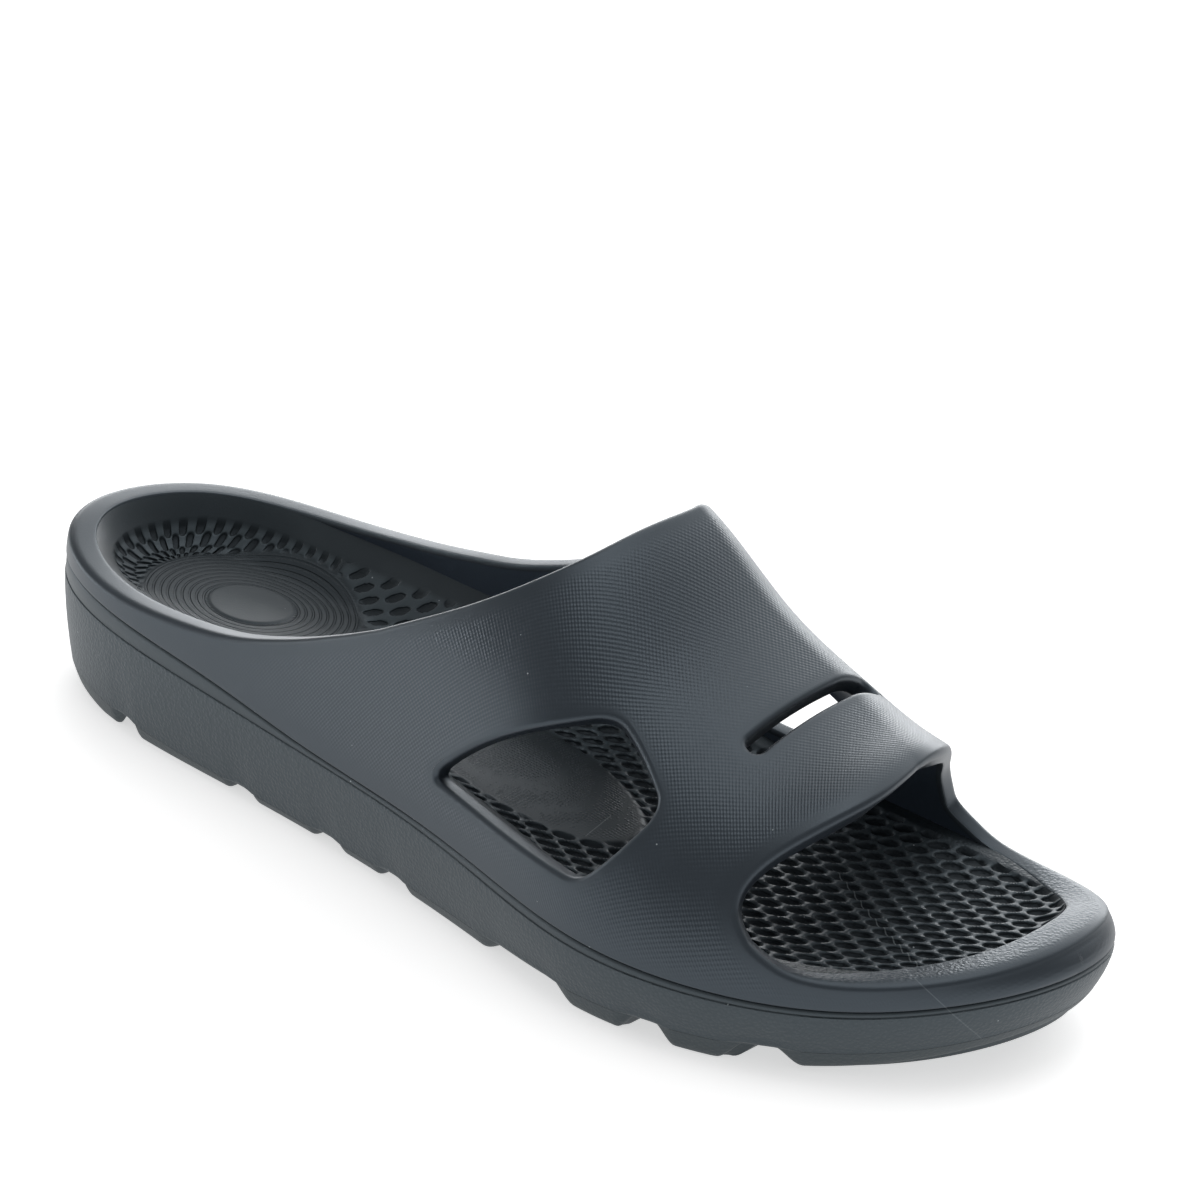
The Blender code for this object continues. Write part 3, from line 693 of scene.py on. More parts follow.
@dataclass(frozen=True)
class Scratch:
    """A thin pale scratch: its ends in the row's frame and the way that its surface faces."""

    start: tuple[float, float, float]
    end: tuple[float, float, float]
    facing: tuple[float, float, float] = (0.0, 0.0, 1.0)
    width: float = 0.2
    strength: float = 0.5
    core_share: float = 0.3
    bend: float = 2.0
    bend_length: float = 25.0
    taper: float = 0.05


@dataclass(frozen=True)
class Foam:
    """Moulded foam: its colours, with painted highlights and shade, its sheen and the relief of the
    mould it came out of.
    """

    name: str
    dark: Colour
    pale: Colour
    roughness: float
    tint: Colour = (0.74, 0.88, 1.0)
    gloss: float = 0.9
    ridge_painted_highlight: float = 0.5
    cloud_size: float = 38.0
    grain_size: float = 0.9
    grain_depth: float = 0.08
    grain_warp: float = 0.6
    grain_warp_rate: float = 0.9
    pore_size: float = 0.45
    pore_depth: float = 0.02
    weave_pitch: float = 1.2
    weave_depth: float = 0.075
    weave_patch: float = 1.3
    ring_depth: float = 0.35
    pit_depth: float = 0.3
    pip_pitch: float = 0.95
    pip_depth: float = 0.07
    # How far the relief's tops are painted toward the highlight colour (painted highlight), and the
    # shares that make the painted highlight colour and the painted shade of the pits
    top_highlight: float = 0.2
    highlight_share: float = 2.1
    pit_shade_share: float = 0.35
    crease_wear_and_highlight: float = 0.5
    wear: float = 0.0
    rubbed_and_highlight: Colour = (0.10, 0.12, 0.135)
    # Paler colour painted on inner faces as fill light
    inner_face: Colour = (0.034, 0.046, 0.066)
    dust: Colour = (0.42, 0.46, 0.48)
    dust_pitch: float = 7.0
    dust_spread: Pair = (0.016, 0.034)
    dust_limit: float = 0.35
    scratches: tuple[Scratch, ...] = ()

    def specks(self, graph: Graph) -> Link:
        """Sparse dust: small round specks in a few of the cells of a loose pattern."""
        distance = graph.cells(self.dust_pitch)
        tone = graph.cells(self.dust_pitch, output="Color")
        chosen = graph.node("ShaderNodeSeparateColor", None, {0: tone}, "Red")
        near = 1 - graph.ramp(distance, *self.dust_spread)
        return near * (chosen > self.dust_limit)

    def leather(self, graph: Graph) -> Link:
        """Height of a leather grain: rounded cells with fine creases between them."""
        shift = graph.scaled(graph.noise(1 / self.grain_warp_rate, output="Color"), self.grain_warp)
        warped = graph.vector("ADD", {0: graph.place, 1: shift})
        return 1 - graph.ramp(graph.cells(self.grain_size, vector=warped), 0.15, 0.75)

    def weave(self, graph: Graph) -> Link:
        """Knots of the strap's dotted emboss, 0 to 1, a little uneven from patch to patch."""
        turns = 1 / self.weave_pitch
        mesh = graph.wave(graph.layer("along") * turns) * graph.wave(graph.layer("around") * turns)
        strength = graph.layer("weave") * (0.6 + graph.noise(self.weave_patch) * 0.8)
        return (mesh * 0.5 + 0.5) * strength

    def pits(self, graph: Graph) -> Link:
        """Hollow of the footbed's pits: dips of a sum of cosines, 0 to 1."""
        net_a = graph.layer("net_a")
        net_b = graph.layer("net_b")
        lattice = graph.wave(net_a) + graph.wave(net_b) + graph.layer("shift")
        lattice = lattice + graph.wave(net_a - net_b) * graph.layer("third")
        return graph.ramp(lattice, -0.95, -0.1) * graph.layer("pit")

    def material(self) -> bpy.types.Material:
        """The material: cloudy foam, woven relief on the strap, leather grain, wear and dust, with
        painted highlights on the relief's tops, the net's ridges and the rim's crease, painted shade
        in the pits and painted fill light on inner faces.
        """
        graph = Graph(self.name)
        cloud = graph.noise(self.cloud_size, 3.0)
        grain = graph.layer("grain")
        knots = self.weave(graph)
        leather = self.leather(graph) * grain
        rings = graph.ramp(graph.wave(graph.layer("ring")), -0.9, -0.2) * graph.layer("rings")
        hollow = self.pits(graph)
        dots = graph.cells(self.pip_pitch, randomness=0.35)
        pips = (1 - graph.ramp(dots, 0.2, 0.5)) * graph.layer("pips")
        height = knots * self.weave_depth + leather * self.grain_depth
        height = height + graph.noise(self.pore_size) * self.pore_depth
        height = height + rings * self.ring_depth - hollow * self.pit_depth + pips * self.pip_depth
        highlight_colour = tuple(self.highlight_share * part for part in self.pale)
        pit_shade = tuple(self.pit_shade_share * part for part in self.dark)
        colour = graph.blend(graph.ramp(cloud, 0.3, 0.7), self.dark, self.pale)
        # Painted light: inner faces are painted paler, standing in for the fill light that the dim
        # inside lacks.
        colour = graph.blend(graph.layer("inner_face") * 0.9, colour, self.inner_face)
        # Painted highlight: the tops of the weave knots and the leather grain are painted lighter, as
        # if catching the light.
        colour = graph.blend((leather + knots) * self.top_highlight, colour, highlight_colour)
        # Partly wear, partly painted highlight: the rim's inner crease is painted paler, standing in
        # for its highlight line; the grained ledge is paler from wear.
        worn_and_highlit = graph.layer("crease") * self.crease_wear_and_highlight + grain * self.wear
        colour = graph.blend(worn_and_highlit, colour, self.rubbed_and_highlight)
        # Painted highlight: the net's ridges are painted lighter, standing in for the glint of the
        # back light on them.
        ridge_highlight = (1 - hollow) * graph.layer("pit") * self.ridge_painted_highlight
        colour = graph.blend(ridge_highlight, colour, highlight_colour)
        # Painted shade: the pits are painted darker, as the shade in their hollows.
        colour = graph.blend(hollow * 0.8, colour, pit_shade)
        mask = self.specks(graph)
        for scratch in self.scratches:
            mask = graph.math("MAXIMUM", mask, graph.scratch(scratch))
        colour = graph.blend(mask * 0.8, colour, self.dust)
        roughness = self.roughness + (cloud - 0.5) * 0.12 + hollow * 0.15 - knots * 0.06
        graph.put(graph.shader.inputs["Specular Tint"], self.tint)
        graph.put(graph.shader.inputs["Specular IOR Level"], self.gloss)
        return graph.finish(colour, roughness, height)


@dataclass(frozen=True)
class Upper:
    """Hollow moulded upper: heel rim, strap with two windows and a slot, toe ledge."""

    last: Last
    rim_lip: float = 1.6
    foot_round: float = 0.5
    hole_round: float = 1.4
    hole_ease: float = 0.6
    window_round: float = 4.0
    slot_length: float = 45.0
    slot_width: float = 4.4
    slot_station: float = 0.7525
    slot_centre: float = 1.0
    # Corners of a side window: station, rise as a share of the instep rise, bow of the next side
    outer_window: Rows = (
        (0.512, 0.182, 3.8),
        (0.660, 0.627, 0.6),
        (0.730, 0.461, 1.2),
        (0.688, 0.183, 0.4),
    )
    inner_window: Rows = (
        (0.505, 0.200, 2.8),
        (0.648, 0.560, 0.6),
        (0.712, 0.430, 1.2),
        (0.676, 0.190, 0.4),
    )
    # Section of a rim behind its rounded corner: share of the way across, swell, rubbed crease that is
    # also painted paler as a highlight
    lip_rows: Rows = (
        (0.360, 1.00, 0.0),
        (0.480, 1.00, 0.0),
        (0.600, 1.00, 0.0),
        (0.720, 0.99, 0.0),
        (0.840, 0.97, 0.0),
        (0.930, 0.94, 0.0),
        (0.975, 0.88, 1.0),
        (1.000, 0.72, 1.0),
    )
    # Fall of the toe ledge: shares of the way across, and the drop there as shares of the lip
    ledge_fall: Rows = ((0.36, 0.60, 1.00), (0.00, 0.12, 0.42))
    # Places where the woven relief comes in: from the heel, over the band low on the side, at edges
    weave_stations: Pair = (0.24, 0.40)
    weave_turn: Pair = (0.60, 0.68)
    weave_rise_rear: Pair = (1.5, 9.0)
    weave_rise_front: Pair = (1.0, 4.0)
    weave_edge: Pair = (1.2, 4.5)
    foot_ways: tuple[float, ...] = (0.0, 0.0006, 0.0018, 0.0035)
    low_steps: int = 8
    belt_steps: int = 9
    top_steps: int = 60
    strap_steps: int = 104
    heel_steps: int = 300
    toe_steps: int = 130
    ring_steps: int = 8
    cloth_steps: int = 80
    margin: int = 3

    def surface(self, station: Array, girth: Array) -> Array:
        """Points of the outer surface."""
        return self.last.girth_point(station, girth)

    def inside(self, station: Array, girth: Array) -> Array:
        """Points of the inner surface: the outer ones moved in by the wall's thickness."""
        normal = self.last.girth_normal(station, girth)
        return self.surface(station, girth) - normal * self.last.wall(station)[..., None]

    def matching_station(self, rows: Rows, size: float, way: float, reach: Pair) -> float:
        """Station within reach on the inner side at which an edge is as far up the ribs as given."""
        places = np.linspace(*reach, 400)
        ways = self.last.edge_way(rows, size, -self.last.angle_of(places))
        order = np.argsort(ways)
        return float(np.interp(way, ways[order], places[order]))

    def edge_station(self, rows: Rows, side: Side, way: Array, corner: Pair) -> Array:
        """Station of a strap edge at a way up the ribs, held at its corner below it.

        The curve runs on over the crest and down the other side, so it has no kink there.

        Args:
            rows: the edge's table.
            side: the side of the shoe.
            way: ways to read.
            corner: way and station of the edge's corner.

        Returns:
            The stations.
        """
        kept = [corner]
        kept += [(row[0], row[side.value]) for row in rows if row[0] > corner[0] + 0.02]
        kept += [(2 - row[0], row[3 - side.value]) for row in reversed(rows[:-1])]
        return np.where(way <= corner[0], corner[1], curve(tuple(kept), 1, way))

    def window_runs(self, corners: Rows, side: Side) -> list[Array]:
        """Four runs of a window's edge, each from one rounded corner's middle to the next.

        The sides bow out by a parabola and the corners are quadratic curves, drawn in the
        side view and then carried onto the vault.

        Args:
            corners: the window's corner rows.
            side: the side of the shoe it is in.

        Returns:
            Runs of station and girth, starting at the rear corner with the lower girth.
        """
        last = self.last
        rows = np.array(corners)
        tips = np.stack([rows[:, 0] * last.length,
                         last.groove(rows[:, 0]) + rows[:, 1] * last.instep_rise], 1)
        middle = tips.mean(0)
        sides = []
        for i, bow in enumerate(rows[:, 2]):
            run = tips[(i + 1) % 4] - tips[i]
            length = np.linalg.norm(run)
            across = np.array([run[1], -run[0]]) / length
            across *= np.sign(np.dot(across, tips[i] - middle))
            cut = self.window_round / length
            share = np.linspace(cut, 1 - cut, 40)[:, None]
            sides.append(tips[i] + run * share + across * bow * 4 * share * (1 - share))
        arcs = []
        turn = np.linspace(0, 1, 21)[:, None]
        for i in range(4):
            before = sides[i - 1][-1]
            pull = tips[i] * 2 * turn * (1 - turn)
            arcs.append(before * (1 - turn) ** 2 + pull + sides[i][0] * turn ** 2)
        runs = []
        half = len(turn) // 2
        for i in range(4):
            run = np.concatenate([arcs[i][half:-1], sides[i], arcs[(i + 1) % 4][1:half + 1]])
            station = run[:, 0] / last.length
            angle = last.angle_of(station) * side.turn
            way = last.way_to_rise(angle, run[:, 1] - last.groove(station))
            runs.append(np.stack([station, way if side is Side.OUTER else 2 - way], 1))
        if side is Side.OUTER:
            return runs
        return [runs[0][::-1], runs[3][::-1], runs[2][::-1], runs[1][::-1]]

    def slot_runs(self) -> list[Array]:
        """Four runs of the slot's edge: rear side, inner end, front side and outer end."""
        radius = self.slot_width / 2
        x = self.slot_station * self.last.length
        half = self.slot_length / 2 - radius
        high = self.slot_centre + half
        low = self.slot_centre - half
        turn = np.linspace(0, math.pi, 31)
        level = np.linspace(low, high, 60)
        ends = [np.stack([x - radius * np.cos(turn), high + radius * np.sin(turn)], 1),
                np.stack([x + radius * np.cos(turn), low - radius * np.sin(turn)], 1)]
        sides = [np.stack([np.full(60, x - radius), level], 1),
                 np.stack([np.full(60, x + radius), level[::-1]], 1)]
        return [self.from_plan(run) for run in (sides[0], ends[0], sides[1], ends[1])]

    def from_plan(self, plan: Array) -> Array:
        """Station and girth of the vault's points straight over a plan, found by halving."""
        station = plan[:, 0] / self.last.length
        low = np.zeros(len(plan))
        high = np.full(len(plan), 2.0)
        for _ in range(HALVINGS):
            middle = (low + high) / 2
            short = self.surface(station, middle)[:, 1] < plan[:, 1]
            low = np.where(short, middle, low)
            high = np.where(short, high, middle)
        return np.stack([station, (low + high) / 2], 1)

    def moved(self, station: Array, girth: Array, move: Array) -> tuple[Array, Array]:
        """Stations and girths after small moves in space along the surface (least squares)."""
        along = self.surface(station + SMALL, girth) - self.surface(station - SMALL, girth)
        around = self.surface(station, girth + SMALL) - self.surface(station, girth - SMALL)
        along, around = along / (2 * SMALL), around / (2 * SMALL)
        a, b, c = ((along * along).sum(-1), (along * around).sum(-1), (around * around).sum(-1))
        u, v = ((along * move).sum(-1), (around * move).sum(-1))
        area = a * c - b * b
        return station + (c * u - b * v) / area, girth + (a * v - b * u) / area

    def hole(self, shell: Shell, runs: list[Array], station: Array, girths: Array,
             keep: Array) -> Array:
        """Cut a hole into the strap's grid and build its rounded wall.

        A block of cells round the hole gives way to rings that go from the hole's edge to
        the block's border; the wall's section is a quarter round, a straight and a quarter round.

        Args:
            shell: takes the new grids.
            runs: the hole's edge as four runs of station and girth.
            station: stations of the strap's grid.
            girths: its girths.
            keep: its cells, in which the block's are cleared.

        Returns:
            Points of the hole's edge on the outer surface.
        """
        loop = np.concatenate(runs)
        column = np.interp(loop[:, 1], girths, np.arange(len(girths)))
        start = np.interp(loop[:, 1], girths, station[0])
        end = np.interp(loop[:, 1], girths, station[-1])
        row = (loop[:, 0] - start) / (end - start) * (len(station) - 1)
        i0, i1 = int(row.min()) - self.margin, int(row.max()) + 1 + self.margin
        j0, j1 = int(column.min()) - self.margin, int(column.max()) + 1 + self.margin
        keep[i0:i1, j0:j1] = False
        down, over = i1 - i0, j1 - j0
        i = np.concatenate([np.full(over, i0), np.arange(i0, i1),
                            np.full(over, i1), np.arange(i1, i0, -1)])
        j = np.concatenate([np.arange(j0, j1), np.full(down, j1),
                            np.arange(j1, j0, -1), np.full(down, j0)])
        border = np.stack([station[i, j], girths[j]], 1)
        edge = np.concatenate([resample(run, n) for run, n in zip(runs, (over, down, over, down))])
        point = self.surface(edge[:, 0], edge[:, 1])
        normal = self.last.girth_normal(edge[:, 0], edge[:, 1])
        into = unit(np.cross(np.roll(point, -1, 0) - np.roll(point, 1, 0), normal))
        into *= np.sign(np.sum(into * (point.mean(0) - point)))
        ease = np.stack(self.moved(edge[:, 0], edge[:, 1], -into * self.hole_round), 1)
        share = np.linspace(0, 1, self.ring_steps + 1)[:, None, None] ** 1.2
        rings = closed(border * share + ease * (1 - share))
        near = self.surface(*rings[0].T)
        far = self.inside(*rings[0].T)
        point = closed(point[None])[0]
        normal = closed(normal[None])[0]
        thick = self.last.wall(closed(edge[None])[0][:, 0])[:, None]
        turn = np.linspace(0, math.pi / 2, 7)[:, None, None]
        top = near + (point - near) * np.sin(turn) - normal * self.hole_round * (1 - np.cos(turn))
        back = point - normal * thick
        foot = far + (back - far) * np.cos(turn) + normal * self.hole_ease * (1 - np.sin(turn))
        wall = np.concatenate([top, (top[-1:] + foot[:1]) / 2, foot])
        places = (rings[..., 0], rings[..., 1])
        shell.add(self.surface(*places), **self.cloth(*places))
        # The hole's inner face takes the painted fill light.
        shell.add(self.inside(*places), inner_face=np.array(1.0))
        shell.add(wall)
        return point[:-1]

    def cloth(self, station: Array, girth: Array) -> dict[str, Array]:
        """Places along the shoe and round its girth in millimetres, for the woven relief."""
        last = self.last
        count = self.cloth_steps
        rows = np.zeros((count + 1, 1))
        stations = np.linspace(0, 1, count + 1)[:, None] + np.zeros((1, 2 * count + 1))
        girths = rows + np.linspace(0, 2, 2 * count + 1)[None]
        steps = np.linalg.norm(np.diff(last.girth_point(stations, girths), axis=1), axis=-1)
        run = np.concatenate([rows, np.cumsum(steps, 1)], 1)
        run -= run[:, count:count + 1]
        x = np.clip(station, 0, 1) * count
        y = np.clip(girth, 0, 2) * count
        i = np.minimum(x.astype(int), count - 1)
        j = np.minimum(y.astype(int), 2 * count - 1)
        u, v = x - i, y - j
        lower = run[i, j] * (1 - u) + run[i + 1, j] * u
        upper = run[i, j + 1] * (1 - u) + run[i + 1, j + 1] * u
        return {"along": station * last.length, "around": lower * (1 - v) + upper * v}

    def weave_mask(self, point: Array, station: Array, rise: Array, edges: Array) -> Array:
        """Strength of the woven relief: full on the strap, fading to the edges and the heel."""
        flat = point.reshape(-1, 3)
        square = (flat ** 2).sum(1)[:, None] + (edges ** 2).sum(1)[None] - 2 * flat @ edges.T
        distance = np.sqrt(np.maximum(square.min(1), 0)).reshape(point.shape[:-1])
        heel = smooth_step(station, *self.weave_stations)
        front = smooth_step(station, *self.weave_turn)
        low = smooth_step(rise, *self.weave_rise_rear) * (1 - front)
        low = low + smooth_step(rise, *self.weave_rise_front) * front
        return smooth_step(distance, *self.weave_edge) * heel * low

    def lip(self, edge: Array, inside: Array, normal: Array,
            ledge: Array) -> tuple[Array, Array, Array]:
        """Section of the rim along a closed edge.

        A quarter ellipse rises from the outer edge, a nearly flat top leads in, and a small
        bevel turns down to the inner face; at the toe the top slopes down to the footbed.

        Args:
            edge: the outer surface's edge.
            inside: the inner surface's edge.
            normal: vectors out of the outer surface.
            ledge: 1 where the edge is the toe ledge's and 0 elsewhere.

        Returns:
            The rows of points, how near each is to the inner crease, and its share of ledge.
        """
        run = np.roll(edge, -1, 0) - np.roll(edge, 1, 0)
        into = unit(np.cross(run, normal))
        if into[:, 2].sum() < 0:
            into = -into
        table = np.array(self.lip_rows)
        turn = np.linspace(0, math.pi / 2, 8)[:-1, None]
        corner = np.concatenate([table[0, 0] * (1 - np.cos(turn)), np.sin(turn), 0 * turn], 1)
        across, swell, wear = np.concatenate([corner, table]).T
        slope = np.interp(across, *self.ledge_fall)
        rows = [edge + (inside - edge) * a + into * self.rim_lip * (s - ledge[:, None] * d)
                for a, s, d in zip(across, swell, slope)]
        rows.append(inside)
        # Crease values: where the rim is painted paler, partly wear and partly painted highlight; the
        # inner face gets a little of it.
        wear = np.append(wear, 0.3)[:, None] * (1 - ledge)[None]
        top = np.append(smooth_step(across, table[0, 0] / 3, table[0, 0]), 1.0)[:, None] * ledge[None]
        return np.stack(rows), wear, top

    def rounded_foot(self, grid: Array, angle: Array) -> Array:
        """Points with the lowest ones drawn in, so that the wall's foot is a quarter round."""
        rise = grid[..., 2] - self.last.groove(self.last.station_of(angle))
        short = np.clip(self.foot_round - rise, 0, self.foot_round)
        draw = self.foot_round - np.sqrt(np.maximum(self.foot_round ** 2 - short ** 2, 0))
        made = grid.copy()
        made[..., :2] += self.last.inward(angle) * draw[..., None]
        return made

    def build(self) -> bpy.types.Object:
        """Build the upper as one closed shell of three bands, three holes, two rims and a foot."""
        last = self.last
        rear = float(last.collar_way(last.angle_of(np.array(last.strap_rear))))
        front = float(last.ledge_way(last.angle_of(np.array(last.strap_front))))
        inner_rear = self.matching_station(last.collar_rows, last.collar_rise, rear, (0.30, 0.48))
        inner_front = self.matching_station(last.ledge_rows, last.ledge_rise, front, (0.785, 0.88))
        foot = np.concatenate([self.foot_ways, np.linspace(0.007, front, self.low_steps)])
        belt = np.linspace(front, rear, self.belt_steps + 1)[1:]
        top = np.linspace(rear, 1, self.top_steps + 1)[1:]
        ways = np.concatenate([foot, belt, top])
        shell = Shell(last, ("along", "around", "weave", "grain", "crease", "inner_face"))

        heel_angle = np.linspace(float(last.angle_of(last.strap_rear)),
                                 -float(last.angle_of(inner_rear)), self.heel_steps + 1)
        share = np.concatenate([foot, belt]) / rear
        heel = (np.repeat(heel_angle[:, None], len(share), 1),
                last.collar_way(heel_angle)[:, None] * share)
        toe_angle = np.linspace(float(last.angle_of(last.strap_front)),
                                TAU - float(last.angle_of(inner_front)), self.toe_steps + 1)
        toe = (np.repeat(toe_angle[:, None], len(foot), 1),
               last.ledge_way(toe_angle)[:, None] * (foot / front))

        along = np.linspace(0, 1, self.strap_steps + 1)[:, None]
        stations = []
        for side, back, fore in ((Side.OUTER, last.strap_rear, last.strap_front),
                                 (Side.INNER, inner_rear, inner_front)):
            start = self.edge_station(last.rear_rows, side, ways, (rear, back))
            end = self.edge_station(last.front_rows, side, ways, (front, fore))
            stations.append(start * (1 - along) + end * along)
        station = np.concatenate([stations[0], stations[1][:, -2::-1]], 1)
        girths = np.concatenate([ways, 2 - ways[-2::-1]])
        keep = np.ones((len(station) - 1, len(girths) - 1), bool)
        edges = [self.hole(shell, runs, station, girths, keep)
                 for runs in (self.window_runs(self.outer_window, Side.OUTER),
                              self.window_runs(self.inner_window, Side.INNER), self.slot_runs())]
        girth = np.broadcast_to(girths, station.shape)
        turn = np.where(girth <= 1, 1.0, -1.0)
        strap = (last.angle_of(station) * turn, 1 - np.abs(1 - girth))

        outer, inner, normals = [], [], []
        for angle, way in (heel, strap, toe):
            surface = last.vault_point(angle, way)
            normal = last.vault_normal(angle, way)
            inside = surface - normal * last.wall(last.station_of(angle))[..., None]
            inside[..., 2] = np.where(way <= 0, surface[..., 2], inside[..., 2])
            outer.append(surface)
            inner.append(inside)
            normals.append(normal)
        loops = []
        ledge = smooth_step(last.station_of(toe_angle), 0.84, 0.90)
        skips = (len(foot) + len(belt) - 1, len(foot) - 1)
        for band, row, skip, share in ((0, 0, skips[0], 0 * heel_angle), (2, -1, skips[1], ledge)):
            over = slice(skip, len(girths) - skip)
            loop = [np.concatenate([grids[band][:, -1], grids[1][row, over][::-1][1:-1]])
                    for grids in (outer, inner, normals)]
            loops.append((*loop, np.pad(share, (0, len(loop[0]) - len(share)))))
            edges.append(loop[0])
        edge_points = np.concatenate(edges)[::2]
        for number, (angle, way) in enumerate((heel, strap, toe)):
            at = last.station_of(angle)
            kept = keep if number == 1 else None
            cloth = self.cloth(at, np.where(last.is_outer(angle), way, 2 - way))
            rise = outer[number][..., 2] - last.groove(at)
            weave = self.weave_mask(outer[number], at, rise, edge_points)
            surface = self.rounded_foot(outer[number], angle)
            shell.add(surface, kept, weave=weave, **cloth)
            # The inner surface takes the painted fill light.
            shell.add(inner[number], kept, inner_face=np.array(1.0))
            ends = (0, -1) if number == 1 else (0,)
            for end in ends:
                shell.add(np.stack([surface[:, end], inner[number][:, end]]))
        self.mask_holes(shell, edge_points)
        for loop in loops:
            rows, wear, flat = self.lip(*loop)
            shell.add(closed(rows), crease=closed(wear), grain=closed(flat))
        made = shell.make("upper_shell")
        LOG.info("upper: %d faces", len(made.data.polygons))
        return made

    def mask_holes(self, shell: Shell, edges: Array) -> None:
        """Give the rings round the holes their share of the woven relief."""
        for k, points in enumerate(shell.points):
            if np.any(shell.values["along"][k]) and not np.any(shell.values["weave"][k]):
                at = points[:, 0] / self.last.length
                rise = points[:, 2] - self.last.groove(at)
                shell.values["weave"][k] = self.weave_mask(points, at, rise, edges)

    def dress(self, piece: bpy.types.Object, foam: Foam) -> None:
        """Give the upper its foam and its place on the frame."""
        piece.data.materials.append(foam.material())
        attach(piece, "root")
        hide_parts("upper")


